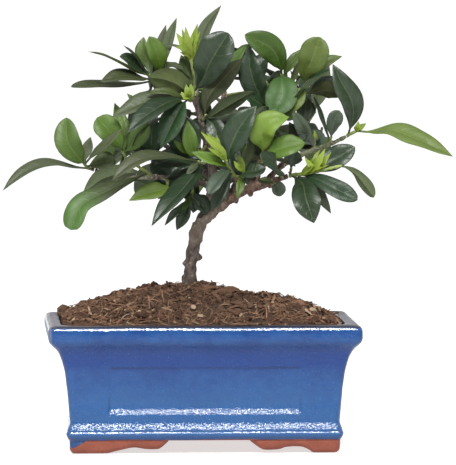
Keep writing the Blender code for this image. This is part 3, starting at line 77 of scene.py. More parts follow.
# the point that the front elevation is seen from, from the middle of the pot's foot
EYE = (-122.4, -2747.3, 247.0)
EYE_TURN = 2.83
EYE_DROP = 2.96
GRID_SCALE = 5598.0
SEED = 11

# outer face of the pot from the rim down: height, inset from the rim line
POT_PROFILE = [
    (62.5, 0.9), (61.9, 0.2), (60.5, -0.4), (57.4, -1.05), (55.2, -0.75), (53.4, 0.3), (51.2, 2.5), (49.0, 4.1),
    (45.3, 5.6), (40.6, 6.8), (35.4, 7.6), (29.1, 8.3), (22.2, 8.9), (17.2, 9.1), (14.7, 8.8), (12.6, 8.1),
    (10.6, 7.8), (8.4, 8.4), (6.4, 9.4),
]


# ---------------------------------------------------------------- front elevation grid
def grid_axes():
    turn, drop = math.radians(EYE_TURN), math.radians(EYE_DROP)
    forward = Vector((math.sin(turn) * math.cos(drop), math.cos(turn) * math.cos(drop), -math.sin(drop)))
    right = Vector((math.cos(turn), -math.sin(turn), 0.0))
    return forward, right, right.cross(forward)


FORWARD, RIGHT, UPWARD = grid_axes()
TO_VIEWER = -FORWARD


def at(u, v, y):
    """The point in millimetres from the pot's middle that shows at (u, v) and lies at depth y."""
    ray = FORWARD + RIGHT * ((u - 228.0) / GRID_SCALE) + UPWARD * ((232.5 - v) / GRID_SCALE)
    eye = Vector(EYE)
    return eye + ray * ((y - eye.y) / ray.y)


def seen(point):
    """Where a point in millimetres shows on the grid."""
    r = point - Vector(EYE)
    z = r.dot(FORWARD)
    return 228.0 + GRID_SCALE * r.dot(RIGHT) / z, 232.5 - GRID_SCALE * r.dot(UPWARD) / z


def spline(points, steps):
    """Points along a smooth curve through the given ones, evenly spread over its length."""
    if len(points) == 2:
        return [points[0].lerp(points[1], i / steps) for i in range(steps + 1)]
    ends = [points[0] * 2 - points[1]] + list(points) + [points[-1] * 2 - points[-2]]
    fine = []
    for i in range(1, len(ends) - 2):
        a, b, c, d = ends[i - 1], ends[i], ends[i + 1], ends[i + 2]
        for k in range(12):
            t = k / 12.0
            fine.append(
                0.5 * (2 * b + (c - a) * t + (2 * a - 5 * b + 4 * c - d) * t * t + (3 * b - a - 3 * c + d) * t * t * t)
            )
    fine.append(ends[-2])
    lengths = [0.0]
    for p, q in zip(fine, fine[1:]):
        lengths.append(lengths[-1] + (q - p).length)
    out, j = [], 0
    for i in range(steps + 1):
        want = lengths[-1] * i / steps
        while j < len(fine) - 2 and lengths[j + 1] < want:
            j += 1
        span = max(lengths[j + 1] - lengths[j], 1e-9)
        out.append(fine[j].lerp(fine[j + 1], min(1.0, max(0.0, (want - lengths[j]) / span))))
    return out


# ---------------------------------------------------------------- woody frame of the tree
# name: (the branch it leaves, or None; points (u, v, y); radius in mm at each point)
WOOD = {
    "trunk": (None, [(189.6, 296, 0), (189.4, 284, 0), (190.4, 272, 0), (191.3, 258, 0.3), (194.2, 244, -0.5), (197, 232, -1), (199.5, 224, -1)],
              [3.9, 3.1, 2.9, 3.0, 3.0, 3.6, 3.5]),
    "right": ("trunk", [(199.5, 224, -1), (207, 218.5, -2), (215, 211.5, -3), (229, 201, -6), (244, 190.8, -8), (262, 184.5, -10), (276, 180, -11), (288, 176, -12)],
              [3.0, 2.4, 2.0, 1.9, 2.2, 2.3, 1.5, 1.2]),
    "leader": ("trunk", [(199.5, 224, -1), (204.5, 214, 3), (210, 198, 6), (213, 180, 6), (210.5, 160, 5), (206, 140, 3), (201.5, 122, 1), (197, 106, 0), (193.2, 96, -1)],
               [2.7, 2.4, 2.2, 2.1, 2.0, 1.8, 1.6, 1.35, 1.25]),
    "left": ("leader", [(211.5, 186, 6), (197, 181.5, 2), (180, 179, -3), (163, 177.5, -7), (152, 176.5, -9)], [1.7, 1.6, 1.4, 1.25, 1.1]),
    "far_left": ("left", [(163, 177.5, -7), (146, 177.5, -3), (127, 177, -2), (108, 174, -1), (95, 170, -1)], [1.15, 1.1, 1.05, 1.0, 0.95]),
    "upper_left": ("leader", [(206, 140, 3), (192, 124, 9), (176, 107, 11), (163, 93, 10), (155.5, 85, 8)], [1.4, 1.3, 1.2, 1.1, 1.0]),
    "centre": ("right", [(240, 193, -8), (238, 184, -11), (234.5, 176, -14)], [1.3, 1.15, 1.05]),
    "upper_right": ("right", [(251, 188, -9), (257, 170, 8), (265, 146, 17), (273, 120, 18), (280, 98, 14), (283.5, 86, 11)], [1.8, 1.6, 1.5, 1.3, 1.15, 1.0]),
    "far_right": ("right", [(262, 185.5, -10), (277, 170, 1), (294, 158, 7), (311, 151, 8), (327, 145.5, 5), (340, 139.5, 3), (346, 136.5, 2.4)], [1.6, 1.45, 1.3, 1.2, 1.1, 1.0, 0.95]),
    "right_high": ("upper_right", [(273, 120, 18), (287, 105, 15), (298, 94, 12)], [1.1, 1.0, 0.95]),
    "front_right": ("right", [(256, 187, -9), (259, 174, -13), (261.5, 163, -16)], [1.2, 1.05, 0.95]),
    "back_left": ("leader", [(213, 180, 6), (196, 165, 24), (174, 151, 41), (158, 141, 51)], [1.8, 1.6, 1.3, 1.1]),
    "back_mid": ("leader", [(208.5, 150, 4), (216, 131, 21), (222, 106, 37), (225, 86, 47)], [1.7, 1.5, 1.3, 1.05]),
    "back_right": ("far_right", [(277, 170, 1), (287, 158, 20), (299, 139, 38), (308, 122, 49)], [1.35, 1.25, 1.15, 1.0]),
    "back_low": ("right", [(229, 200.5, -6), (233, 189, 16), (239, 177, 38), (245, 167, 53)], [1.7, 1.5, 1.25, 1.0]),
}

# name: (the branch it grows from, points (u, v, y) of its green stem, radius at its foot and at its tip in mm)
SHOOTS = {
    "shoot_far_left": ("far_left", [(88, 168, -2), (84, 163.5, -4)], 0.95, 0.75),
    "shoot_left": ("left", [(146, 171.5, -12), (140, 168, -15), (136.5, 163.5, -16)], 1.1, 0.8),
    "shoot_left_rise": ("far_left", [(126, 160, -2), (122, 150, -4)], 0.9, 0.7),
    "shoot_left_low": ("left", [(167, 180, -13), (167.5, 184, -17)], 0.9, 0.75),
    "shoot_left_under": ("left", [(193, 190, -6), (189.5, 200, -9)], 0.9, 0.7),
    "shoot_front_left": ("leader", [(203, 163.5, -6), (198, 161.5, -14)], 1.05, 0.85),
    "shoot_front_left_light": ("leader", [(201, 151, -4), (197, 150, -8)], 0.85, 0.7),
    "shoot_crown_left_a": ("upper_left", [(151.5, 80, 4), (149, 74, 0)], 0.95, 0.75),
    "shoot_crown_left_b": ("upper_left", [(162, 83, 6), (161, 74, 4)], 0.9, 0.7),
    "shoot_top": ("leader", [(194, 90, -3), (195, 81, -4), (193, 69, -5), (190.5, 58, -5)], 1.15, 0.85),
    "shoot_top_left": ("leader", [(190, 101, -6), (187.5, 98.5, -9)], 0.95, 0.8),
    "shoot_top_back": ("leader", [(198, 97, 5), (197, 84, 8), (197, 72, 9)], 0.95, 0.75),
    "shoot_middle": ("leader", [(204, 119, -5), (206, 115, -9)], 0.95, 0.75),
    "shoot_centre": ("centre", [(231, 170, -18), (227.5, 165.5, -22), (226, 160, -25)], 1.05, 0.8),
    "shoot_centre_side": ("centre", [(243, 177, -18), (244, 169, -20)], 0.85, 0.7),
    "shoot_front_right": ("front_right", [(262, 157.5, -19), (262, 153.5, -21)], 0.95, 0.75),
    "shoot_branch_dark": ("right", [(281, 176, -17), (279.5, 172, -19)], 0.85, 0.7),
    "shoot_branch_round": ("right", [(273.5, 184, -15), (275.5, 186.5, -17)], 0.75, 0.65),
    "shoot_right_low": ("right", [(297, 174.5, -15), (306, 174, -19), (321, 170.5, -22), (342, 165.5, -23)], 1.15, 0.8),
    "shoot_right_low_dark": ("right", [(291, 171, -10), (291.5, 166, -9)], 0.85, 0.7),
    "shoot_far_right": ("far_right", [(352, 133.2, 1), (358, 130.5, 0)], 0.95, 0.8),
    "shoot_right_mid": ("far_right", [(330, 140.5, 0), (331.5, 137, -2)], 0.9, 0.7),
    "shoot_right_mid_front": ("far_right", [(314, 146.5, 0), (314.5, 143, -4)], 0.9, 0.7),
    "shoot_high_right": ("upper_right", [(283, 79, 8), (281.5, 74, 5)], 0.95, 0.8),
    "shoot_high_mid": ("upper_right", [(270, 112, 8), (268, 108, 4)], 0.9, 0.75),
    "shoot_high_front": ("upper_right", [(281, 119, 8), (283, 118, 2)], 0.9, 0.75),
    "shoot_high_far": ("right_high", [(303.5, 88.5, 8), (305, 84, 5)], 0.95, 0.75),
    "shoot_high_far_low": ("right_high", [(306, 94.5, 12), (310, 92.5, 11)], 0.85, 0.7),
}

# Leaves of those shoots: (shoot, place along its stem, points (u, v, y) from the blade's start to its tip,
# full width in mm, (turn, rise) of the upper face in degrees, with turn 0 towards the front and 90 to the right,
# fold along the midrib in degrees, shape: acute, round, bud or one of FULLNESS, and tone)
LEAVES = [
    ("shoot_far_left", 0.45, [(73, 167, -7), (50, 164.2, -13), (25, 172, -18), (2.6, 190.4, -21)], 10.5, (0, 66), 16, "acute", "grey"),
    ("shoot_far_left", 0.8, [(78, 157, -8), (67.5, 141, -11), (66.3, 117.6, -8)], 13.0, (-8, 18), 14, "round", "mid"),
    ("shoot_far_left", 0.95, [(85.5, 153, -1), (90.5, 137, 2)], 6.0, (160, 20), 10, "acute", "grey"),
    ("shoot_far_left", 0.7, [(91, 165.5, -3), (101, 162, -4), (115, 159, -4)], 9.6, (0, 24), 10, "blunt", "olive"),
    ("shoot_left", 0.25, [(133, 179.5, -17), (108, 190.5, -24), (81, 205.5, -30), (70.5, 230, -33)], 12.2, (-18, 32), 7, "spoon", "mid"),
    ("shoot_left", 0.35, [(120, 173, -9), (100, 180, -5), (82.5, 194.5, -4)], 10.5, (175, 30), 10, "acute", "grey"),
    ("shoot_left", 0.8, [(135, 165.5, -19), (130, 164.5, -20)], 3.4, (0, 40), 16, "bud", "olive"),
    ("shoot_left", 0.97, [(139, 158, -19), (142, 150, -19)], 3.6, (30, 20), 20, "bud", "lime"),
    ("shoot_left", 0.99, [(134, 159, -18), (131, 153, -18)], 3.2, (-30, 20), 20, "bud", "lime"),
    ("shoot_left_rise", 0.95, [(119, 143, -7), (109, 131, -9), (97, 117.5, -8)], 13.0, (-8, 28), 14, "blunt", "light"),
    ("shoot_left_rise", 0.8, [(123, 132, 2), (119, 116, 5), (114.6, 103, 6)], 8.0, (0, 22), 12, "acute", "light"),
    ("shoot_left_rise", 0.9, [(130, 148, -5), (138, 137, -8), (147, 122, -9)], 10.0, (6, 20), 12, "blunt", "mid"),
    ("shoot_left_rise", 0.6, [(125.5, 146, 2), (126.5, 136, 3), (127, 124, 4)], 7.5, (0, 20), 12, "acute", "olive"),
    ("shoot_far_left", 0.92, [(93, 155, -10), (106, 144, -15), (122, 128.5, -18)], 6.2, (-10, 40), 12, "acute", "grey"),
    ("shoot_left_low", 0.9, [(165, 188.5, -20), (148, 193.5, -24), (129, 200.6, -28)], 10.5, (0, 36), 14, "heart", "midlime"),
    ("shoot_left_low", 0.3, [(173, 178, -9), (182, 170, -8), (192, 166, -8)], 9.0, (0, 30), 12, "acute", "dark"),
    ("shoot_left_low", 0.7, [(166, 190, -12), (158, 199, -12)], 5.5, (-10, 30), 14, "acute", "dark"),
    ("shoot_left_under", 0.85, [(181, 208.5, -12), (175, 213.5, -13.5), (164.5, 225.5, -14.5)], 5.0, (-10, 40), 14, "acute", "dark"),
    ("shoot_left_under", 0.97, [(187, 208, -9), (182.5, 218, -10), (176.6, 230, -10)], 6.6, (10, 25), 12, "acute", "dark"),
    ("shoot_left_under", 0.7, [(187, 204, -14), (180.5, 211.5, -16)], 3.6, (0, 30), 12, "acute", "mid"),
    ("shoot_left_under", 0.6, [(197, 199, -2), (203, 206, 0), (206, 215, 1)], 9.5, (25, 12), 10, "acute", "dark"),
    ("shoot_left_under", 0.75, [(194, 206, -6), (193, 213, -7)], 6.0, (0, 15), 12, "acute", "dark"),
    ("shoot_front_left", 0.95, [(182, 159, -20), (158, 156.2, -28), (133, 163, -35), (112, 180.3, -38)], 11.0, (-5, 58), 14, "spear", "grey"),
    ("shoot_front_left", 0.75, [(185, 164.5, -15), (168, 165, -19), (153, 167, -21)], 8.0, (0, 55), 12, "acute", "dark"),
    ("shoot_front_left", 0.97, [(194, 167, -18), (186, 175.5, -21)], 4.2, (-10, 30), 16, "acute", "grey"),
    ("shoot_front_left", 0.6, [(198, 170, -17), (186, 186, -27), (170, 203, -38), (151.5, 226, -44)], 13.5, (-28, 32), 16, "acute", "dark"),
    ("shoot_front_left_light", 0.95, [(194, 154, -12), (190, 140, -15), (187.6, 120.5, -14)], 8.0, (0, 18), 14, "acute", "light"),
    ("shoot_front_left_light", 0.8, [(188, 151, -9), (180, 146, -12), (172.7, 139, -13)], 5.0, (-20, 25), 14, "bud", "light"),
    ("shoot_front_left_light", 0.5, [(190, 146, -1), (177, 138, 2), (160, 133, 4)], 13.0, (0, 24), 12, "acute", "deep"),
    ("shoot_front_left_light", 0.6, [(196, 140, -2), (191, 130, -2), (184, 115, -2)], 9.0, (0, 16), 12, "acute", "dark"),
    ("shoot_front_left", 0.2, [(190, 159, 1), (175, 155, 4), (158, 153, 6)], 10.0, (0, 30), 12, "acute", "dark"),
    ("shoot_crown_left_a", 0.9, [(135, 71, -5), (120, 62.8, -10), (104.7, 55.6, -14), (88, 51.4, -17)], 7.5, (0, 80), 8, "acute", "olive"),
    ("shoot_crown_left_a", 0.95, [(141, 64, -1), (134, 54.5, -2), (123, 45, -3)], 6.0, (0, 78), 8, "acute", "dark"),
    ("shoot_crown_left_a", 0.8, [(140, 69.5, 2), (130, 60.5, 1), (119.6, 56.5, -1)], 8.5, (0, 40), 12, "round", "dark"),
    ("shoot_crown_left_a", 0.99, [(148, 62, 3), (142.5, 50, 3), (143.7, 37, 4)], 8.5, (-15, 12), 12, "acute", "mid"),
    ("shoot_crown_left_a", 0.6, [(140, 78.5, -3), (122, 76, -9), (100, 82, -14)], 11.0, (-8, 48), 12, "acute", "darkgrey"),
    ("shoot_crown_left_a", 0.45, [(135, 84, 5), (110, 85, 4), (90, 84.5, 1), (71, 87, -2)], 7.5, (0, 56), 10, "blunt", "darkgrey"),
    ("shoot_crown_left_b", 0.95, [(159.5, 64, 0), (156.5, 52, -3), (149, 36.5, -4)], 10.0, (8, 14), 12, "round", "light"),
    ("shoot_crown_left_b", 0.97, [(164, 56, 6), (168.5, 39, 8), (176.6, 18, 9)], 5.6, (170, 15), 14, "acute", "grey"),
    ("shoot_crown_left_b", 0.8, [(159, 58, 10), (161, 43, 12), (166, 25, 13)], 5.6, (175, 15), 12, "acute", "grey"),
    ("shoot_crown_left_b", 0.7, [(166, 69, -1), (173, 66, -3), (184, 69.5, -4)], 7.5, (0, 66), 12, "acute", "grey"),
    ("shoot_crown_left_b", 0.5, [(171, 78, 3), (182, 82, 6)], 8.0, (0, 40), 12, "acute", "dark"),
    ("shoot_top_left", 0.9, [(178, 99.5, -14), (162, 105.5, -22), (144, 117.5, -29), (127, 133, -34)], 12.5, (-12, 42), 14, "acute", "dark"),
    ("shoot_top_left", 0.6, [(172, 95.5, -8), (143, 103, -12), (112, 117, -15)], 12.0, (0, 46), 12, "acute", "grey"),
    ("shoot_top_left", 0.97, [(181, 107, -13), (172, 124, -17), (161, 148, -19)], 13.5, (-22, 12), 14, "acute", "deep"),
    ("shoot_top_left", 0.5, [(183, 88, -11), (168, 80, -14), (149, 77, -17)], 13.0, (178, 26), 8, "round", "olive"),
    ("shoot_top_left", 0.8, [(170, 92, -12), (158, 91, -13), (147, 94, -13)], 5.0, (0, 40), 12, "acute", "olive"),
    ("shoot_top_left", 0.98, [(187.5, 93, -12), (186, 84.5, -12)], 4.0, (0, 20), 20, "bud", "lime"),
    ("shoot_top_left", 0.92, [(190.5, 93.5, -11), (191, 83, -11)], 3.6, (10, 20), 20, "bud", "lime"),
    ("shoot_top_left", 0.99, [(184.5, 96, -12), (181, 92, -12)], 3.4, (-20, 20), 20, "bud", "lime"),
    ("shoot_top", 0.16, [(203, 79, -9), (208.5, 66, -14), (217, 51, -18), (228.5, 33, -19)], 18.0, (0, 16), 14, "blunt", "dark"),
    ("shoot_top_back", 0.3, [(211, 82, 2), (228, 67, 0), (247.5, 44, -1)], 8.5, (35, 52), 12, "acute", "light"),
    ("shoot_top_back", 0.9, [(197.5, 52, 8), (205, 28, 11), (221, 5.5, 14)], 6.6, (170, 22), 12, "acute", "grey"),
    ("shoot_top_back", 0.7, [(186, 54, 6), (176, 46.5, 5), (166, 44, 4)], 4.2, (0, 56), 12, "acute", "grey"),
    ("shoot_top_back", 0.6, [(188, 72, 12), (181, 55, 14)], 8.0, (-20, 25), 12, "acute", "mid"),
    ("shoot_top", 0.9, [(192, 46, -7), (197.5, 24, -7)], 4.6, (20, 14), 20, "bud", "lime"),
    ("shoot_top", 0.93, [(188, 44, -9), (185.5, 27, -9)], 4.2, (0, 14), 20, "bud", "lime"),
    ("shoot_top", 0.95, [(184, 45, -6), (176.5, 33, -6)], 4.6, (-20, 20), 20, "bud", "lime"),
    ("shoot_top", 0.97, [(194, 48, -3), (199.6, 37, -3)], 4.2, (40, 20), 20, "bud", "lime"),
    ("shoot_top", 0.99, [(184, 50, -9), (175.5, 46, -10)], 3.6, (-30, 30), 20, "bud", "lime"),
    ("shoot_top", 0.85, [(187, 45, -2), (182, 29, -1)], 4.2, (-20, 10), 20, "bud", "lime"),
    ("shoot_middle", 0.6, [(207.5, 99, -10), (219.5, 82.5, -12), (243, 58, -13)], 10.6, (175, 14), 8, "acute", "shade"),
    ("shoot_middle", 0.9, [(212, 115, -14), (231, 103.5, -18), (254, 91, -20)], 8.6, (172, 36), 8, "acute", "shade"),
    ("shoot_middle", 0.8, [(212, 124, -11), (217, 135, -13), (221, 148, -14)], 11.0, (-15, 18), 12, "acute", "dark"),
    ("shoot_middle", 0.7, [(214, 117, -5), (226, 115, -5), (240, 112, -5)], 10.0, (0, 26), 12, "acute", "shade"),
    ("shoot_centre", 0.72, [(230.5, 147, -27), (240, 127, -31), (256.5, 106, -32)], 14.0, (-8, 14), 12, "acute", "dark"),
    ("shoot_centre", 0.96, [(222, 152, -28), (213, 143.5, -30), (201, 132, -31)], 4.2, (-15, 24), 20, "bud", "lime"),
    ("shoot_centre", 0.99, [(219.5, 148, -26), (214, 140, -26), (206.5, 133, -26)], 3.3, (0, 24), 20, "bud", "lime"),
    ("shoot_centre", 0.9, [(219, 155, -30), (213.5, 151.5, -32), (208, 147.8, -33)], 3.8, (-20, 30), 20, "bud", "lime"),
    ("shoot_centre", 0.62, [(219, 162.5, -26), (208.5, 158.5, -29), (192, 152, -30)], 7.0, (-10, 30), 16, "acute", "light"),
    ("shoot_centre", 0.4, [(225, 172, -26), (217, 181, -32), (208.5, 194, -36)], 8.2, (-12, 42), 12, "blunt", "greygreen"),
    ("shoot_centre", 0.28, [(226, 181, -20), (219, 195, -23), (211, 211, -25)], 8.0, (15, 34), 12, "acute", "dark"),
    ("shoot_centre_side", 0.3, [(241, 181, -22), (239.5, 190, -25), (237, 198.5, -26)], 4.6, (10, 22), 14, "acute", "mid"),
    ("shoot_centre_side", 0.97, [(240, 160, -21), (237, 154.5, -21)], 3.4, (0, 20), 20, "bud", "lime"),
    ("shoot_centre_side", 0.9, [(237.5, 166, -24), (234, 161, -25)], 3.4, (-20, 20), 20, "bud", "lime"),
    ("shoot_centre_side", 0.6, [(247, 172, -24), (256, 171, -27), (266, 168, -28)], 10.0, (0, 38), 12, "round", "dark"),
    ("shoot_centre_side", 0.8, [(245, 160, -18), (250, 150, -19), (252, 140, -19)], 6.0, (30, 20), 14, "acute", "olive"),
    ("shoot_centre_side", 0.5, [(239, 168, -13), (235, 157, -11), (236, 143, -10)], 9.5, (0, 18), 12, "acute", "dark"),
    ("shoot_front_right", 0.95, [(263, 145, -25), (262, 132, -29), (270.5, 122, -31), (289, 117, -31)], 14.0, (-4, 20), 12, "acute", "lightlime"),
    ("shoot_front_right", 0.7, [(268.5, 154, -24), (284, 147, -28), (305, 143, -29)], 12.0, (-6, 26), 12, "round", "light"),
    ("shoot_front_right", 0.5, [(258, 151, -13), (255, 140, -11), (256, 127, -10)], 9.0, (0, 18), 12, "acute", "dark"),
    ("shoot_branch_dark", 0.9, [(277, 168.5, -22), (270, 161.5, -26), (259.5, 154.5, -27)], 11.5, (14, 28), 12, "round", "dark"),
    ("shoot_branch_round", 0.9, [(276.5, 184.5, -19), (278.5, 189, -20), (280, 196.5, -20)], 7.2, (0, 30), 12, "round", "greygreen"),
    ("shoot_branch_round", 0.4, [(268, 181, -17), (258, 181, -18)], 4.6, (0, 40), 12, "round", "olive"),
    ("shoot_right_low", 0.36, [(317, 164, -26), (321, 157, -27), (325, 149, -27)], 5.0, (0, 16), 20, "bud", "lime"),
    ("shoot_right_low", 0.4, [(321.5, 164, -24), (326, 158.5, -25), (331, 152.5, -25)], 4.2, (20, 16), 20, "bud", "lime"),
    ("shoot_right_low", 0.3, [(311, 167, -25), (308, 162.5, -26), (304.8, 157, -26)], 4.4, (-20, 20), 20, "bud", "lime"),
    ("shoot_right_low", 0.33, [(314, 163, -22), (316, 156, -21), (320, 150, -21)], 4.0, (0, 16), 20, "bud", "lime"),
    ("shoot_right_low", 0.44, [(330, 161.5, -19), (342, 155, -20), (355, 147, -20)], 12.5, (6, 26), 12, "round", "dark"),
    ("shoot_right_low", 0.97, [(348, 168, -24), (359, 177, -27), (374, 197.5, -28)], 7.0, (172, 34), 16, "blunt", "greyolive"),
    ("shoot_right_low", 0.3, [(319, 180, -26), (335, 188.5, -31), (357.5, 200, -34)], 9.8, (-6, 24), 12, "blunt", "green"),
    ("shoot_right_low", 0.12, [(302.5, 184, -22), (306, 199, -30), (314, 223, -34)], 14.2, (-4, 22), 16, "spear", "dark"),
    ("shoot_right_low", 0.22, [(313, 186, -19), (322, 199, -22), (331, 213.5, -23)], 6.2, (172, 18), 12, "acute", "grey"),
    ("shoot_right_low_dark", 0.8, [(293.5, 158, -11), (297, 150, -13)], 9.0, (20, 22), 16, "acute", "dark"),
    ("shoot_far_right", 0.15, [(353, 116, -2), (351, 100, -6), (341.5, 83, -7), (332.8, 64.2, -6)], 12.4, (10, 14), 14, "acute", "dark"),
    ("shoot_far_right", 0.95, [(372, 132, -3), (393, 131, -9), (416, 139, -15), (436, 148.5, -18), (453, 156.5, -20)], 13.6, (0, 54), 12, "acute", "palelime"),
    ("shoot_far_right", 0.8, [(357.5, 127, -2), (358.5, 121.5, -3)], 3.2, (0, 20), 20, "bud", "lime"),
    ("shoot_far_right", 0.92, [(361, 127, 2), (366, 123.5, 3)], 3.0, (20, 20), 20, "bud", "lime"),
    ("shoot_right_mid", 0.9, [(332, 130, -4), (334, 121, -6), (339.5, 110.5, -7)], 8.0, (14, 14), 12, "blunt", "greygreen"),
    ("shoot_right_mid", 0.5, [(325, 128, 3), (319.5, 113, 5), (313.5, 95, 6)], 5.0, (60, 14), 12, "acute", "dark"),
    ("shoot_right_mid_front", 0.8, [(311, 142, -16), (303, 128, -29), (294, 112, -34)], 7.4, (-20, 26), 16, "blunt", "greygreen"),
    ("shoot_right_mid_front", 0.97, [(315, 137, -7), (314.5, 130.5, -8)], 2.8, (20, 20), 20, "bud", "lime"),
    ("shoot_right_mid_front", 0.6, [(320, 139, -3), (313, 130, -6)], 5.8, (0, 25), 14, "acute", "greygreen"),
    ("shoot_high_right", 0.9, [(280, 64, 1), (270, 47.5, -4), (244.8, 34.8, -7)], 13.0, (-12, 12), 12, "round", "bright"),
    ("shoot_high_right", 0.7, [(290, 65, 5), (303.5, 48.5, 6)], 6.0, (10, 40), 14, "acute", "mid"),
    ("shoot_high_right", 0.97, [(282, 82, -2), (282, 96, -6), (271, 116, -9)], 16.0, (-4, 18), 12, "round", "midgreen"),
    ("shoot_high_mid", 0.9, [(259, 94, 1), (251, 73, -2), (249, 45, -2)], 13.0, (-14, 18), 12, "acute", "dark"),
    ("shoot_high_mid", 0.6, [(260, 104, 2), (251, 98, 0), (242, 95, -2)], 10.0, (0, 24), 12, "acute", "deep"),
    ("shoot_high_mid", 0.7, [(272, 101, 10), (266, 88, 13)], 10.0, (20, 16), 12, "acute", "dark"),
    ("shoot_high_front", 0.9, [(286, 111, -8), (294, 101, -13), (305.3, 88, -15)], 10.5, (0, 26), 14, "spear", "midolive"),
    ("shoot_high_far", 0.9, [(306, 74, 1), (312, 60, -3), (320, 37, -5)], 14.8, (4, 20), 12, "blunt", "lightolive"),
    ("shoot_high_far", 0.7, [(311, 73.5, 6), (324, 62.5, 7), (342, 56.2, 8)], 7.5, (0, 30), 10, "acute", "lightolive"),
    ("shoot_high_far_low", 0.7, [(317, 91, 7), (329, 90.5, 3), (346, 95.5, 1)], 9.5, (172, 28), 8, "acute", "olive"),
    ("shoot_high_far_low", 0.9, [(317, 85.5, 13), (330, 81.5, 15), (343, 83.5, 16)], 7.5, (0, 40), 10, "acute", "dark"),
    ("shoot_high_far_low", 0.5, [(306, 103, 10), (305, 112, 8), (303, 123, 6)], 10.0, (10, 16), 12, "acute", "shade"),
    ("back_shoot_left_side", 0.9, [(151, 150, 38), (152, 133, 35), (153, 113, 33)], 11.0, (0, 16), 12, "acute", "deep"),
    ("back_shoot_left_side", 0.75, [(145, 154, 40), (138, 150, 37), (129, 145, 34)], 8.0, (0, 30), 12, "acute", "shade"),
    ("back_shoot_left_upper", 0.9, [(176, 132, 30), (167, 135, 27), (157, 143, 24)], 9.0, (0, 20), 12, "acute", "shade"),
    ("back_shoot_middle", 0.9, [(207, 116, 36), (202, 104, 33), (197, 90, 31)], 8.0, (0, 16), 12, "acute", "shade"),
    ("back_shoot_middle", 0.8, [(205, 124, 38), (198, 128, 36), (189, 137, 34)], 10.0, (0, 20), 12, "acute", "deep"),
    ("back_shoot_low_left", 0.9, [(215, 163, 36), (210, 153, 33), (204, 140, 30)], 10.0, (0, 16), 12, "acute", "shade"),
    ("back_shoot_low_end", 0.8, [(250, 166, 55), (249, 156, 52), (246, 138, 50)], 10.0, (0, 16), 12, "acute", "shade"),
    ("back_shoot_low_left", 0.75, [(214, 177, 38), (208, 171, 35), (198, 163, 33)], 10.0, (0, 20), 12, "acute", "shade"),
    ("side_shoot_right", 0.75, [(304, 147, 14), (297, 136, 16), (289, 122, 18)], 9.0, (0, 20), 12, "acute", "shade"),
    ("side_shoot_right", 0.9, [(318, 132, 16), (309, 136, 13), (299, 142, 11)], 9.0, (0, 24), 12, "blunt", "greygreen"),
    ("shoot_left_under", 0.25, [(190, 197, 6), (193, 188, 9), (197, 178, 11)], 8.5, (0, 16), 12, "acute", "shade"),
    ("side_shoot_inner", 0.95, [(241, 167, 5), (250, 175, 4), (259, 183.5, 3)], 11.0, (0, 20), 12, "round", "dark"),
    ("side_shoot_inner", 0.9, [(232, 167, 3), (228, 176, 1), (224, 187, 0)], 10.0, (0, 20), 12, "acute", "dark"),
]

# shoots of the sides and the back: (name, branch, (u, v, y) of the tip, number of leaves)
BACK_SHOOTS = [
    ("back_shoot_left_end", "back_left", (150, 134, 59), 5),
    ("back_shoot_left_inner", "back_left", (176, 166, 45), 3),
    ("back_shoot_left_upper", "back_left", (180, 136, 36), 3),
    ("back_shoot_left_side", "back_left", (150, 158, 46), 4),
    ("back_shoot_top_end", "back_mid", (227, 75, 54), 5),
    ("back_shoot_top_left", "back_mid", (200, 88, 34), 2),
    ("back_shoot_top_right", "back_mid", (245, 92, 38), 4),
    ("back_shoot_middle", "back_mid", (212, 122, 42), 3),
    ("back_shoot_right_end", "back_right", (315, 112, 57), 5),
    ("back_shoot_right_upper", "back_right", (292, 118, 46), 3),
    ("back_shoot_right_inner", "back_right", (282, 142, 42), 3),
    ("back_shoot_low_end", "back_low", (249, 160, 62), 5),
    ("back_shoot_low_left", "back_low", (222, 170, 42), 3),
    ("back_shoot_low_right", "back_low", (262, 172, 36), 4),
    ("side_shoot_left", "far_left", (122, 160, 14), 3),
    ("side_shoot_left_low", "far_left", (103, 181, 11), 3),
    ("side_shoot_upper_left", "upper_left", (146, 92, 24), 4),
    ("side_shoot_upper_inner", "upper_left", (176, 86, 26), 3),
    ("side_shoot_high", "upper_right", (262, 78, 28), 3),
    ("side_shoot_high_back", "upper_right", (288, 92, 32), 4),
    ("side_shoot_high_low", "upper_right", (250, 128, 32), 3),
    ("side_shoot_right", "far_right", (322, 128, 22), 4),
    ("side_shoot_inner", "leader", (236, 160, 8), 2),
]

# outline of the crown's thick middle on the grid, and the clear places in it (u, v, radius)
CROWN = [
    (88, 150), (94, 124), (122, 100), (104, 84), (122, 62), (148, 44), (172, 38), (200, 40), (236, 42), (262, 34),
    (284, 52), (306, 54), (326, 44), (338, 66), (356, 92), (350, 122), (330, 128), (342, 154), (338, 166), (318, 178),
    (312, 205), (300, 205), (290, 178), (262, 182), (236, 186), (222, 196), (206, 214), (186, 214), (160, 206), (132, 196),
    (112, 190), (92, 196), (84, 172),
]
CLEAR = [(229, 88, 7), (216, 106, 6), (321, 114, 9), (338, 104, 7), (230, 192, 8), (192, 215, 5), (276, 168, 3)]


# ---------------------------------------------------------------- leaf shape
# leaves that are widest away from their middle: place of the greatest width, fullness before and after it
FULLNESS = {"blunt": (0.7, 0.8, 0.5), "spoon": (0.84, 0.9, 0.33), "spear": (0.64, 0.85, 0.85), "heart": (0.38, 0.6, 0.95)}


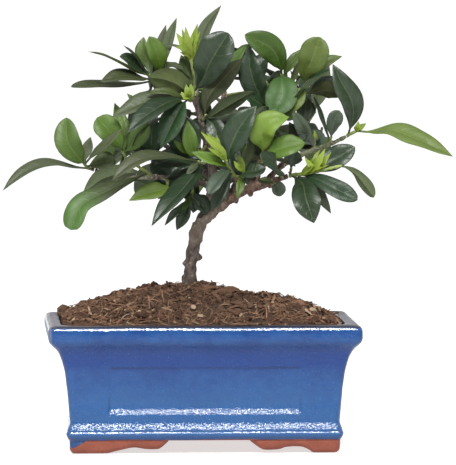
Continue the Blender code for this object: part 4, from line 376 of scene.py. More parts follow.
def outline(x, tip):
    """Half width of a leaf blade over its greatest half width, at x from 0 at the stalk to 1 at the tip."""
    x = min(max(x, 0.0), 1.0)
    if tip == "round":
        return max(0.0, math.sin(math.pi * x**1.18)) ** 0.62
    if tip == "bud":
        return max(0.0, math.sin(math.pi * x**0.8)) ** 0.9
    if tip in FULLNESS:
        peak, before, after = FULLNESS[tip]
        if x < peak:
            return math.sin(0.5 * math.pi * x / peak) ** before
        return max(0.0, math.cos(0.5 * math.pi * (x - peak) / (1.0 - peak))) ** after
    return max(0.0, math.sin(math.pi * x**1.02)) ** 0.9


class Leaf:
    def __init__(self, shoot, points, width, face, fold, tip, tone):
        self.shoot, self.points, self.width = shoot, points, width
        self.fold, self.tip, self.tone = math.radians(fold), tip, tone
        turn, rise = math.radians(face[0]), math.radians(face[1])
        self.hint = (TO_VIEWER * math.cos(turn) + RIGHT * math.sin(turn)) * math.cos(rise) + Vector((0, 0, math.sin(rise)))
        self.start = 0.0 if tip == "bud" else 0.09
        self.plain = False

    def frames(self, steps):
        """Midrib points with the direction along, the upper face's normal and the direction across."""
        line = spline(self.points, steps)
        out = []
        for i, p in enumerate(line):
            along = (line[min(i + 1, steps)] - line[max(i - 1, 0)]).normalized()
            normal = (self.hint - along * self.hint.dot(along)).normalized()
            out.append((p, along, normal, along.cross(normal).normalized()))
        return out

    def moved(self, push):
        """The same leaf with its tip pushed in depth, and the points before it by less."""
        count = len(self.points) - 1
        points = [self.points[0]]
        for i, p in enumerate(self.points[1:], 1):
            u, v = seen(p)
            points.append(at(u, v, p.y + push * (0.35 + 0.65 * i / count)))
        other = Leaf(self.shoot, points, self.width, (0, 0), 0, self.tip, self.tone)
        other.hint, other.fold, other.plain = self.hint, self.fold, self.plain
        return other


def leaf_rings(leaf, grow=0.0):
    """Four points a section: one edge, midrib above, the other edge, midrib below; the last section is the tip."""
    steps = 40
    frames = leaf.frames(steps)
    small = leaf.width < 5.5
    if leaf.tip == "bud":
        stations = [0.0, 0.4]
    elif leaf.plain:
        stations = [0.0, 0.12, 0.57]
    else:
        stations = [0.0, 0.11, 0.5, 0.8] if small else [0.0, 0.1, 0.42, 0.78]
        if leaf.tip in ("blunt", "spoon"):
            stations = [0.0, 0.1, 0.55, 0.9]
    rings = []
    for s in stations:
        p, along, normal, across = frames[round(s * steps)]
        x = (s - leaf.start) / (1.0 - leaf.start)
        half = 0.5 * leaf.width * outline(x, leaf.tip) if s > leaf.start + 0.02 else 0.0
        half = max(half, 0.62 if s else 0.42)
        thick = (0.42 if s else 0.36) + grow
        fold = leaf.fold if half > 1.0 else 0.0
        side = across * ((half + grow) * math.cos(fold))
        lift = normal * (half * math.sin(fold))
        rings.append([p + side + lift, p + normal * thick, p - side + lift, p - normal * thick])
    return rings, frames[-1][0] + frames[-1][1] * grow


def leaf_mesh(leaf, grow=0.0):
    rings, tip = leaf_rings(leaf, grow)
    verts = [p for ring in rings for p in ring] + [tip]
    faces = [(0, 3, 2, 1)]
    for i in range(len(rings) - 1):
        for k in range(4):
            a, b = 4 * i + k, 4 * i + (k + 1) % 4
            # the upper and the lower face of each half are split along the same line
            faces += [(a, b, b + 4), (a, b + 4, a + 4)] if k % 2 == 0 else [(a, b, a + 4), (b, b + 4, a + 4)]
    last = 4 * (len(rings) - 1)
    faces += [(last + k, last + (k + 1) % 4, len(verts) - 1) for k in range(4)]
    return verts, faces


# ---------------------------------------------------------------- placing the tree's pieces
def inside(polygon, u, v):
    odd = False
    for i in range(len(polygon)):
        (u1, v1), (u2, v2) = polygon[i], polygon[i - 1]
        if (v1 > v) != (v2 > v) and u < (u2 - u1) * (v - v1) / (v2 - v1) + u1:
            odd = not odd
    return odd


def in_crown(leaf):
    for p, _, _, across in leaf.frames(8)[2:]:
        for q in (p, p + across * (0.3 * leaf.width), p - across * (0.3 * leaf.width)):
            u, v = seen(q)
            if not inside(CROWN, u, v) or any(math.hypot(u - cu, v - cv) < r for cu, cv, r in CLEAR):
                return False
    return True


def tube_mesh(points, radii, sides=6):
    """A tapered tube through the points, for finding what is in the way."""
    verts, faces = [], []
    for i, p in enumerate(points):
        along = (points[min(i + 1, len(points) - 1)] - points[max(i - 1, 0)]).normalized()
        a = along.orthogonal().normalized()
        b = along.cross(a)
        verts += [p + (a * math.cos(2 * math.pi * k / sides) + b * math.sin(2 * math.pi * k / sides)) * radii[i] for k in range(sides)]
    for i in range(len(points) - 1):
        for k in range(sides):
            m = (k + 1) % sides
            faces.append((i * sides + k, i * sides + m, (i + 1) * sides + m, (i + 1) * sides + k))
    return verts, faces


def resample(points, radii, steps):
    line = spline(points, steps)
    knots = [0.0]
    for p, q in zip(points, points[1:]):
        knots.append(knots[-1] + (q - p).length)
    out = []
    for i in range(steps + 1):
        want = knots[-1] * i / steps
        j = max(k for k in range(len(knots) - 1) if knots[k] <= want + 1e-9)
        f = (want - knots[j]) / max(knots[j + 1] - knots[j], 1e-9)
        out.append(radii[j] + (radii[j + 1] - radii[j]) * min(1.0, f))
    return line, out


class Tree:
    """The woody frame, the green stems and the leaves, all in millimetres from the pot's middle."""

    def __init__(self):
        self.wood = {}
        for name, (_, points, radii) in WOOD.items():
            self.wood[name] = resample([at(*p) for p in points], radii, (2 if name in ("trunk", "right") else 1) * (len(points) - 1) + 1)
        self.stems, self.leaves = {}, []
        self.blocks = []
        for name, (points, radii) in self.wood.items():
            self.block(name, *tube_mesh(points, [r + 0.35 for r in radii]))
        for name, (host, points, r0, r1) in SHOOTS.items():
            self.grow_stem(name, host, [at(*p) for p in points], r0, r1)
        rng = random.Random(SEED)
        for name, host, tip, _ in BACK_SHOOTS:
            self.grow_stem(name, host, [at(*tip)], 0.95, 0.7)
        for name, (points, radii) in self.stems.items():
            self.block(name, *tube_mesh(points, [r + 0.35 for r in radii]))
        for shoot, place, points, width, face, fold, tip, tone in LEAVES:
            start = self.on_stem(shoot, place)
            leaf = Leaf(shoot, [start] + [at(*p) for p in points], width, face, fold, tip, tone)
            self.settle(leaf)
        for name, _, _, count in BACK_SHOOTS:
            self.leaf_out(name, count, rng)
        for name in ("shoot_high_mid", "shoot_high_front", "shoot_high_far_low", "shoot_left_rise", "shoot_right_mid",
                     "shoot_right_low_dark", "shoot_top_back"):
            self.leaf_out(name, 1, rng)

    def block(self, owner, verts, faces):
        self.blocks.append((owner, BVHTree.FromPolygons(verts, faces)))

    def grow_stem(self, name, host, points, r0, r1):
        """A green stem that starts a little off its branch's bark, or off the branch's end."""
        line, radii = self.wood[host]
        foot, size, run, near = None, 0.0, None, 1e9
        for i in range(len(line) - 1):
            span = line[i + 1] - line[i]
            f = min(1.0, max(0.0, (points[0] - line[i]).dot(span) / span.length_squared))
            p = line[i].lerp(line[i + 1], f)
            if (points[0] - p).length < near:
                foot, size, run, near = p, radii[i] + (radii[i + 1] - radii[i]) * f, span.normalized(), (points[0] - p).length
        way = (points[0] - foot).normalized()
        slope = way.dot(run)
        off = (size + 0.4 + r0 * abs(slope)) / max(0.2, math.sqrt(max(0.0, 1.0 - slope * slope)))
        if (foot - line[-1]).length < 0.01 and slope > 0.1:
            off = min(off, (0.4 + r0 * math.sqrt(max(0.0, 1.0 - slope * slope))) / slope)
        start = foot + way * off
        if (points[0] - start).length < 2.5 and len(points) > 1:
            points = points[1:]
        path = [start] + spline([start + way] + points, max(2, 2 * len(points) - 1))
        count = len(path)
        self.stems[name] = (path, [r0 + (r1 - r0) * i / (count - 1) for i in range(count)])

    def on_stem(self, name, place):
        """A point on the stem's axis, at least 0.6 mm before its tip."""
        points, _ = self.stems[name]
        f = max(place, 0.12) * (len(points) - 1)
        f = min(f, len(points) - 1 - 0.6 / (points[-1] - points[-2]).length)
        i = min(int(f), len(points) - 2)
        return points[i].lerp(points[i + 1], f - i)

    def free(self, leaf):
        mine = BVHTree.FromPolygons(*leaf_mesh(leaf, 0.33))
        return not any(owner != leaf.shoot and tree.overlap(mine) for owner, tree in self.blocks)

    def settle(self, leaf, pushes=(0, 3, -3, 6, -6, 9, -9, 12, -12, 15, -15, 18, 22)):
        for push in pushes:
            trial = leaf.moved(push) if push else leaf
            if self.free(trial):
                self.leaves.append(trial)
                self.block(trial.shoot, *leaf_mesh(trial))
                return True
        LEFT_OUT.append((leaf.shoot, [round(c) for c in seen(leaf.points[-1])]))
        return False

    def leaf_out(self, name, count, rng):
        """Leaves in whorls round a stem's tip, each where the crown has room for it."""
        points, _ = self.stems[name]
        axis = (points[-1] - points[-2]).normalized()
        a = axis.orthogonal().normalized()
        b = axis.cross(a)
        turn = rng.uniform(0, 360)
        placed = 0
        for k in range(count * 9):
            if placed == count:
                break
            angle = math.radians(turn + 137.5 * k + rng.uniform(-20, 20))
            spread = math.radians(rng.uniform(38, 78))
            length = rng.uniform(24, 40)
            way = axis * math.cos(spread) + (a * math.cos(angle) + b * math.sin(angle)) * math.sin(spread)
            way.z = max(way.z, -0.35)
            way.normalize()
            start = self.on_stem(name, rng.uniform(0.72, 0.99))
            droop = rng.uniform(0.02, 0.2)
            path = [start, start + way * (0.16 * length), start + way * (0.55 * length) + Vector((0, 0, 0.05 * length)),
                    start + way * length - Vector((0, 0, droop * length))]
            leaf = Leaf(name, path, length * rng.uniform(0.33, 0.42), (0, 0), rng.uniform(10, 18), rng.choice(["acute", "acute", "round"]),
                        rng.choice(["dark", "dark", "green", "mid", "grey", "light"]))
            leaf.plain = True
            leaf.hint = (Vector((0, 0, 1.0)) + axis * 0.5 - way * 0.3 + Vector((rng.uniform(-0.3, 0.3), rng.uniform(-0.3, 0.3), 0))).normalized()
            if in_crown(leaf) and self.free(leaf):
                self.leaves.append(leaf)
                self.block(name, *leaf_mesh(leaf))
                placed += 1


LEFT_OUT = []


def place(p):
    """Millimetres from the pot's middle to metres from the object's origin."""
    return Vector(((p[0] + POT_X) * MM, (p[1] + POT_Y) * MM, p[2] * MM))


def rounded_rectangle(half_x, half_y, radius, steps=2):
    points = []
    for cx, cy, first in ((1, -1, -90), (1, 1, 0), (-1, 1, 90), (-1, -1, 180)):
        for k in range(steps + 1):
            angle = math.radians(first + 90.0 * k / steps)
            points.append((cx * (half_x - radius) + radius * math.cos(angle), cy * (half_y - radius) + radius * math.sin(angle)))
    return points


def lean(x, y, z):
    """x of a point of the outer wall: below the rim the left face turns in towards the back."""
    if x > 0.0 or z > 50.0:
        return x
    return x + LEFT_TURN * min(1.0, max(0.0, (y + 47.0) / 94.0)) * min(1.0, (50.0 - z) / 6.0) * min(1.0, -x / 64.0)


def inset_at(z):
    for (z1, i1), (z2, i2) in zip(POT_PROFILE, POT_PROFILE[1:]):
        if z2 <= z <= z1:
            return i1 + (i2 - i1) * (z1 - z) / (z1 - z2)
    return POT_PROFILE[-1][1]


def cavity_inset(z):
    """Inner face of the wall, straight down from the rim and then parallel to the outer face."""
    return max(RIM_WIDTH, inset_at(z) + 4.6)


# lower edge of a cloud foot: distance from the pot's middle, height; the longer one is on the left
FOOT_RIGHT = [(65.6, 9.0), (65.6, 2.8), (64.7, 0.9), (62.7, 0.0), (53.2, 0.0), (51.0, 1.2), (46.7, 2.9), (39.8, 2.8), (36.0, 1.7), (29.8, 1.4), (27.0, 2.2), (22.2, 5.6), (22.2, 9.0)]
FOOT_LEFT = [(65.6, 9.0), (65.6, 2.8), (64.8, 0.8), (62.9, 0.0), (48.8, 0.0), (44.0, 0.9), (40.8, 1.6), (34.5, 2.8), (28.6, 2.0), (22.9, 2.0), (20.6, 3.2), (17.7, 5.8), (17.7, 9.0)]
FOOT_SIDE = [(46.6, 9.0), (46.6, 2.8), (45.7, 0.8), (43.7, 0.0), (34.5, 0.0), (32.4, 1.2), (29.0, 2.7), (24.4, 2.6), (21.6, 1.7), (17.2, 1.5), (15.2, 2.4), (12.4, 5.6), (12.4, 9.0)]
FOOT_THICK = 10.0
FOOT_FRONT, FOOT_END = 46.6, 65.6


ROOTS = [
    ([(0.0, 0.0, 84.0), (0.2, 0.3, 76.0), (-0.4, 0.6, 66.0), (0.0, 0.0, 54.0)], [3.5, 4.6, 3.2, 1.6]),
    ([(0.0, 0.0, 78.5), (-7.0, -5.0, 73.0), (-16.0, -10.0, 66.0)], [2.4, 1.9, 1.1]),
    ([(0.0, 0.0, 78.5), (8.0, -4.0, 73.0), (17.0, -7.0, 65.0)], [2.4, 1.8, 1.1]),
    ([(0.0, 0.0, 78.5), (1.0, 8.0, 72.5), (4.0, 17.0, 64.0)], [2.3, 1.8, 1.0]),
]


def trunk_foot():
    """Where the trunk's axis meets the soil."""
    return at(189.5, 284, 0)


def mound(x, y):
    """Height of the soil's surface: a mound that falls to the rim's level at the walls."""
    fx, fy = min(1.0, abs(x + 4) / 75.0), min(1.0, abs(y) / 51.0)
    body = (1.0 - fx**1.7) * (1.0 - 0.8 * fy**1.8)
    ripple = 0.55 * math.sin(0.31 * x + 0.6) * math.cos(0.27 * y) + 0.4 * math.sin(0.73 * x - 0.41 * y + 1.3)
    height = 64.0 + (SOIL_PEAK - 64.0) * body + ripple
    qx, qy = abs(x) - (68.7 - INNER_CORNER), abs(y) - (49.7 - INNER_CORNER)
    away = max(0.0, INNER_CORNER - (math.hypot(qx, qy) if qx > 0 and qy > 0 else max(qx, qy)))
    return 62.6 + (height - 62.6) * (1.0 - math.exp(-away / 5.5))


# ---------------------------------------------------------------- helpers
pieces_collection = bpy.data.collections.new("fine_pieces")
bpy.context.scene.collection.children.link(pieces_collection)


def linear(r, g, b):
    """A colour given as 0 to 255 display values, as scene-linear ones."""
    out = []
    for c in (r, g, b):
        c /= 255.0
        out.append(c / 12.92 if c <= 0.04045 else ((c + 0.055) / 1.055) ** 2.4)
    return tuple(out)


def shown(r, g, b):
    """Surface colour that looks like the given display values under this studio's light."""
    return tuple(0.58 * c for c in linear(r, g, b))


def smooth_step(low, high, x):
    t = min(1.0, max(0.0, (x - low) / (high - low)))
    return t * t * (3.0 - 2.0 * t)


def new_piece(name, verts, faces, mat, smooth=True, angle=40.0):
    """A mesh object from points in millimetres."""
    mesh = bpy.data.meshes.new(name)
    mesh.from_pydata([place(p) for p in verts], [], faces)
    mesh.validate()
    mesh.materials.append(mat)
    if smooth:
        mesh.shade_smooth()
        mesh.set_sharp_from_angle(angle=math.radians(angle))
    obj = bpy.data.objects.new(name, mesh)
    pieces_collection.objects.link(obj)
    return obj


def colour_layer(mesh, name, colours):
    """One colour a vertex, read by the materials."""
    layer = mesh.color_attributes.new(name, "FLOAT_COLOR", "POINT")
    flat = []
    for c in colours:
        flat += [c[0], c[1], c[2], 1.0]
    layer.data.foreach_set("color", flat)


def sweep(points, radii, sides, rough=0.0, seed=0.0, cap=True):
    """A tube through the points, with an uneven skin when rough is over 0. Returns points and faces."""
    verts, faces = [], []
    count = len(points)
    a = None
    for i, p in enumerate(points):
        along = (points[min(i + 1, count - 1)] - points[max(i - 1, 0)]).normalized()
        a = along.orthogonal().normalized() if a is None else (a - along * a.dot(along)).normalized()
        b = along.cross(a)
        for k in range(sides):
            turn = 2 * math.pi * k / sides
            way = a * math.cos(turn) + b * math.sin(turn)
            r = radii[i]
            if rough:
                q = p + way * r
                r *= 1.0 + rough * noise.noise(Vector((q.x * 0.55 + seed, q.y * 0.55, q.z * 0.32)))
                r += 0.22 * rough * noise.noise(Vector((q.x * 1.6 + seed, q.y * 1.6, q.z * 0.9)))
            verts.append(p + way * r)
    for i in range(count - 1):
        for k in range(sides):
            m = (k + 1) % sides
            faces.append((i * sides + k, i * sides + m, (i + 1) * sides + m, (i + 1) * sides + k))
    if cap:
        for ring, tip in ((0, points[0]), (count - 1, points[-1])):
            verts.append(tip)
            centre = len(verts) - 1
            for k in range(sides):
                m = (k + 1) % sides
                face = (ring * sides + k, ring * sides + m, centre)
                faces.append(tuple(reversed(face)) if ring == 0 else face)
    return verts, faces


def apply_modifiers(obj):
    mesh = bpy.data.meshes.new_from_object(obj.evaluated_get(bpy.context.evaluated_depsgraph_get()))
    obj.modifiers.clear()
    obj.data = mesh
    return obj


# ---------------------------------------------------------------- materials
class Nodes:
    """A material's node tree, with short calls to add and join nodes."""

    def __init__(self, name):
        self.mat = bpy.data.materials.new(name)
        self.mat.use_nodes = True
        self.tree = self.mat.node_tree
        self.shader = self.tree.nodes["Principled BSDF"]

    def add(self, kind, **settings):
        node = self.tree.nodes.new(kind)
        for key, value in settings.items():
            setattr(node, key, value)
        return node

    def join(self, out, into):
        self.tree.links.new(out, into)

    def put(self, socket, value):
        if isinstance(value, bpy.types.NodeSocket):
            self.join(value, socket)
        else:
            socket.default_value = value

    def position(self):
        """The point on the surface, in metres."""
        return self.add("ShaderNodeTexCoord").outputs["Object"]

    def scaled(self, vector, scale):
        node = self.add("ShaderNodeMapping")
        node.inputs["Scale"].default_value = scale
        self.join(vector, node.inputs["Vector"])
        return node.outputs["Vector"]

    def noise(self, vector, scale, detail=3.0, rough=0.55, distortion=0.0):
        node = self.add("ShaderNodeTexNoise")
        self.join(vector, node.inputs["Vector"])
        node.inputs["Scale"].default_value = scale
        node.inputs["Detail"].default_value = detail
        node.inputs["Roughness"].default_value = rough
        node.inputs["Distortion"].default_value = distortion
        return node.outputs["Fac"]

    def voronoi(self, vector, scale, feature="F1"):
        node = self.add("ShaderNodeTexVoronoi", feature=feature)
        self.join(vector, node.inputs["Vector"])
        node.inputs["Scale"].default_value = scale
        return node.outputs["Distance"]

    def math(self, operation, a, b=0.0, c=None, clamp=False):
        node = self.add("ShaderNodeMath", operation=operation, use_clamp=clamp)
        self.put(node.inputs[0], a)
        self.put(node.inputs[1], b)
        if c is not None:
            self.put(node.inputs[2], c)
        return node.outputs[0]

    def ramp(self, value, low, high, out_low=0.0, out_high=1.0):
        node = self.add("ShaderNodeMapRange", interpolation_type="SMOOTHSTEP")
        self.put(node.inputs["Value"], value)
        for name, v in (("From Min", low), ("From Max", high), ("To Min", out_low), ("To Max", out_high)):
            self.put(node.inputs[name], v)
        return node.outputs["Result"]

    def mix(self, factor, a, b, blend="MIX"):
        node = self.add("ShaderNodeMix", data_type="RGBA", blend_type=blend)
        self.put(node.inputs["Factor"], factor)
        for socket, value in ((node.inputs[6], a), (node.inputs[7], b)):
            if isinstance(value, tuple):
                socket.default_value = (*value[:3], 1.0)
            else:
                self.join(value, socket)
        return node.outputs[2]

    def bump(self, height, strength, distance, normal=None):
        node = self.add("ShaderNodeBump")
        node.inputs["Strength"].default_value = strength
        node.inputs["Distance"].default_value = distance
        self.join(height, node.inputs["Height"])
        if normal is not None:
            self.join(normal, node.inputs["Normal"])
        return node.outputs["Normal"]

    def attribute(self, name):
        node = self.add("ShaderNodeAttribute", attribute_name=name, attribute_type="GEOMETRY")
        return node

    def split(self, vector):
        node = self.add("ShaderNodeSeparateXYZ")
        self.join(vector, node.inputs[0])
        return node.outputs

    def set(self, **values):
        for key, value in values.items():
            self.put(self.shader.inputs[key.replace("_", " ")], value)


def glaze_material():
    """Blue glaze with fine pits over red clay, which is bare on the feet and underneath."""
    n = Nodes("glaze_and_clay")
    p = n.position()
    x, y, z = n.split(p)
    broad = n.noise(n.scaled(p, (1.0, 1.0, 0.6)), 60.0, 3.0, 0.6)
    cloudy = n.noise(p, 260.0, 4.0, 0.65)
    fine = n.noise(p, 1300.0, 2.0, 0.6)
    blue = n.mix(n.ramp(broad, 0.3, 0.7), shown(14, 62, 128), shown(26, 76, 140))
    blue = n.mix(n.ramp(cloudy, 0.35, 0.75, 0.0, 0.35), blue, shown(42, 95, 153))
    # the lower wall is a lighter blue; the hollow under the rim gets a deeper blue, painted shade under the rim's
    # overhang
    blue = n.mix(n.ramp(z, 0.018, 0.041, 0.55, 0.0), blue, shown(50, 105, 162))
    rim_hollow_shade = n.ramp(n.math("ABSOLUTE", n.math("SUBTRACT", z, 0.0468)), 0.003, 0.0085, 0.7, 0.0)
    blue = n.mix(rim_hollow_shade, blue, shown(0, 52, 130))
    # painted shade: the foot of the wall, below the bead, is a darker blue, the reflection of the shadowed floor next
    # to the pot
    blue = n.mix(n.ramp(z, 0.0068, 0.0098, 0.7, 0.0), blue, shown(30, 56, 104))
    pits = n.ramp(n.voronoi(p, 700.0), 0.0, 0.22, 1.0, 0.0)
    blue = n.mix(n.math("MULTIPLY", pits, 0.35), blue, shown(20, 48, 108))
    speck = n.ramp(fine, 0.6, 0.74, 0.0, 0.3)
    blue = n.mix(speck, blue, shown(92, 142, 196))
    # painted shade: a darker line under the upper edge of the front and back panels, where the recess's step shades it,
    # stronger towards its ends
    under = n.ramp(n.math("ABSOLUTE", n.math("SUBTRACT", z, 0.0417)), 0.0002, 0.0009, 1.0, 0.0)
    aside = n.math("ABSOLUTE", n.math("SUBTRACT", x, POT_X * MM))
    under = n.math("MULTIPLY", under, n.math("MULTIPLY", n.ramp(aside, 0.0445, 0.0465, 1.0, 0.0), n.ramp(aside, 0.018, 0.036, 0.25, 0.6)))
    blue = n.mix(under, blue, shown(10, 44, 104))
    # the top of the rim is grey, partly as the glaze runs thin there and partly as a painted reflection of the bright
    # surroundings on the flat top; a dark line runs along its outer edge
    lift = n.math("ADD", z, n.math("MULTIPLY", n.math("SUBTRACT", cloudy, 0.5), 0.0008))
    top = n.ramp(lift, 0.06215, 0.06245)
    grey = n.mix(n.ramp(cloudy, 0.3, 0.7), shown(102, 102, 112), shown(160, 160, 170))
    grey = n.mix(n.ramp(fine, 0.4, 0.7, 0.0, 0.35), grey, shown(108, 110, 128))
    grey = n.mix(n.ramp(y, (POT_Y - 50.4) * MM, (POT_Y - 51.8) * MM, 0.0, 0.85), grey, shown(52, 46, 50))
    body = n.mix(n.ramp(lift, 0.0611, 0.0616, 0.0, 0.9), blue, shown(22, 28, 50))
    body = n.mix(top, body, grey)
    # painted reflection: the left end of the rim is lightened towards grey, the bright surroundings that it reflects
    end = n.ramp(x, (POT_X - 73.9) * MM, (POT_X - 74.9) * MM)
    body = n.mix(n.math("MULTIPLY", end, 0.55), body, shown(132, 136, 158))
    # bare clay below a slightly wavy line
    wave = n.math("MULTIPLY", n.math("SUBTRACT", n.noise(p, 60.0, 2.0), 0.5), 0.0016)
    run_x = n.ramp(x, (POT_X - 56.0) * MM, (POT_X - 64.5) * MM, 0.0, 0.0036)
    run_y = n.ramp(y, (POT_Y - 35.0) * MM, (POT_Y - 45.0) * MM)
    line = n.math("SUBTRACT", n.math("ADD", 0.0067, wave), n.math("MULTIPLY", run_x, run_y))
    clay = n.ramp(n.math("SUBTRACT", z, line), -0.00022, 0.00022, 1.0, 0.0)
    red = n.mix(n.ramp(n.noise(p, 160.0, 4.0, 0.6), 0.3, 0.75), shown(138, 72, 53), shown(160, 86, 66))
    red = n.mix(n.ramp(n.noise(p, 900.0, 2.0), 0.5, 0.75, 0.0, 0.4), red, shown(126, 64, 50))
    n.set(Base_Color=n.mix(clay, body, red))
    rough = n.ramp(cloudy, 0.3, 0.8, 0.06, 0.12)
    rough = n.math("ADD", rough, n.math("MULTIPLY", n.math("MAXIMUM", top, end), 0.3))
    n.set(Roughness=n.math("ADD", n.math("MULTIPLY", rough, n.math("SUBTRACT", 1.0, clay)), n.math("MULTIPLY", clay, 0.78)))
    glazed = n.math("SUBTRACT", 1.0, clay)
    peel = n.math("ADD", n.math("MULTIPLY", n.noise(p, 400.0, 0.0), 0.5), n.math("MULTIPLY", n.noise(p, 1250.0, 1.0, 0.5), 1.0))
    peel = n.math("SUBTRACT", peel, n.math("MULTIPLY", pits, 0.08))
    # the coat lies calmer along the rim and on the bead of the base band
    bead = n.ramp(n.math("ABSOLUTE", n.math("SUBTRACT", z, 0.0105)), 0.0003, 0.0008, 0.75, 0.0)
    calm = n.math("MAXIMUM", n.ramp(z, 0.055, 0.058, 0.0, 0.55), bead)
    peel = n.math("MULTIPLY", peel, n.math("SUBTRACT", 1.0, calm))
    peel = n.math("MULTIPLY", peel, n.math("SUBTRACT", 1.0, n.math("MULTIPLY", end, 0.85)))
    # and it is rougher on the base band and the ledge below the panels, where it pooled
    pooled = n.ramp(n.math("ABSOLUTE", n.math("SUBTRACT", z, 0.0172)), 0.0045, 0.0075, 1.6, 1.0)
    peel = n.math("MULTIPLY", peel, pooled)
    height = n.math("MULTIPLY", peel, n.math("ADD", n.math("MULTIPLY", glazed, 0.9), 0.1))
    relief = n.bump(height, 0.7, 0.0004)
    n.set(Normal=relief, Coat_Normal=relief)
    # the glaze pooled on every slope that faces up: the base band, the ledges and the rim's edge, where it shines more
    slope = n.split(n.add("ShaderNodeNewGeometry").outputs["Normal"])[2]
    thick = n.math("MULTIPLY", n.ramp(slope, 0.1, 0.3, 0.0, 0.95), n.math("SUBTRACT", 1.0, top))
    n.set(Coat_Weight=n.math("MULTIPLY", thick, glazed))
    n.shader.inputs["Coat Roughness"].default_value = 0.08
    n.shader.inputs["Coat IOR"].default_value = 1.58
    n.shader.inputs["IOR"].default_value = 1.41
    return n.mat


def leaf_material():
    """Waxy leaf with a pale midrib, faint side veins and a thin darker margin; the layers tint and side give its colour."""
    n = Nodes("gardenia_leaf")
    p = n.position()
    uv = n.add("ShaderNodeUVMap", uv_map="leaf")
    u, v, _ = n.split(uv.outputs["UV"])
    across = n.math("ABSOLUTE", n.math("SUBTRACT", n.math("MULTIPLY", v, 2.0), 1.0))
    tint = n.attribute("tint").outputs["Color"]
    below = n.attribute("below").outputs["Color"]
    kind = n.split(n.attribute("side").outputs["Vector"])
    under, glossy = kind[0], kind[1]
    colour = n.mix(under, tint, below)
    mottled = n.noise(p, 210.0, 4.0, 0.6)
    colour = n.mix(n.ramp(mottled, 0.38, 0.72, 0.0, 0.55), colour, (0.76, 0.82, 0.68), "MULTIPLY")
    patch = n.noise(p, 70.0, 2.0, 0.5)
    colour = n.mix(n.ramp(patch, 0.5, 0.25, 0.0, 0.4), colour, (0.72, 0.76, 0.66), "MULTIPLY")
    colour = n.mix(n.ramp(patch, 0.45, 0.75, 0.0, 0.28), colour, (1.35, 1.28, 1.15), "MULTIPLY")
    # side veins leave the midrib at a slant
    slant = n.math("SUBTRACT", n.math("MULTIPLY", u, 8.0), n.math("MULTIPLY", n.math("POWER", across, 1.3), 1.25))
    slant = n.math("ADD", slant, n.math("MULTIPLY", patch, 0.25))
    beat = n.math("ABSOLUTE", n.math("SUBTRACT", n.math("FRACT", slant), 0.5))
    vein = n.ramp(beat, 0.0, 0.10, 1.0, 0.0)
    inner = n.math("MULTIPLY", n.ramp(across, 0.80, 0.95, 1.0, 0.0), n.ramp(u, 0.10, 0.2))
    vein = n.math("MULTIPLY", vein, inner)
    width = n.ramp(u, 0.1, 1.0, 0.085, 0.03)
    rib = n.ramp(n.math("DIVIDE", across, width), 0.55, 1.0, 1.0, 0.0)
    pale = n.mix(under, n.mix(0.42, tint, shown(170, 185, 130)), n.mix(0.5, below, shown(160, 165, 120)))
    colour = n.mix(n.math("MULTIPLY", vein, 0.09), colour, pale)
    colour = n.mix(n.math("MULTIPLY", rib, 0.28), colour, pale)
    margin = n.ramp(across, 0.86, 0.985)
    colour = n.mix(n.math("MULTIPLY", margin, 0.7), colour, (0.62, 0.62, 0.62), "MULTIPLY")
    spots = n.math("MULTIPLY", n.ramp(n.voronoi(p, 170.0), 0.035, 0.055, 1.0, 0.0), n.ramp(n.noise(p, 50.0, 1.0), 0.5, 0.6))
    colour = n.mix(n.math("MULTIPLY", spots, 0.35), colour, shown(176, 190, 170))
    n.set(Base_Color=colour)
    rough = n.mix(under, (0.31, 0.31, 0.31), (0.56, 0.56, 0.56))
    rough = n.math("ADD", rough, n.ramp(mottled, 0.3, 0.8, 0.0, 0.14))
    rough = n.math("ADD", rough, n.math("MULTIPLY", n.math("SUBTRACT", 1.0, glossy), 0.3))
    n.set(Roughness=rough)
    relief = n.math("SUBTRACT", n.math("MULTIPLY", mottled, 0.5), n.math("MULTIPLY", vein, 0.75))
    relief = n.math("SUBTRACT", relief, n.math("MULTIPLY", rib, 0.8))
    relief = n.math("MULTIPLY", relief, n.math("SUBTRACT", 1.0, n.math("MULTIPLY", under, 1.8)))
    fine = n.noise(p, 1500.0, 2.0, 0.5)
    relief = n.math("ADD", relief, n.math("MULTIPLY", fine, 0.10))
    n.set(Normal=n.bump(relief, 0.5, 0.0002))
    n.shader.inputs["IOR"].default_value = 1.4
    return n.mat


def stem_material():
    """Young green stem, browner towards its foot; the layer tint gives its colour."""
    n = Nodes("green_stem")
    p = n.position()
    tint = n.attribute("tint").outputs["Color"]
    fine = n.noise(n.scaled(p, (1.0, 1.0, 0.35)), 900.0, 3.0)
    colour = n.mix(n.ramp(fine, 0.35, 0.7, 0.0, 0.5), tint, (0.6, 0.55, 0.5), "MULTIPLY")
    n.set(Base_Color=colour, Roughness=n.ramp(fine, 0.3, 0.7, 0.42, 0.6))
    n.set(Normal=n.bump(fine, 0.4, 0.0002))
    return n.mat


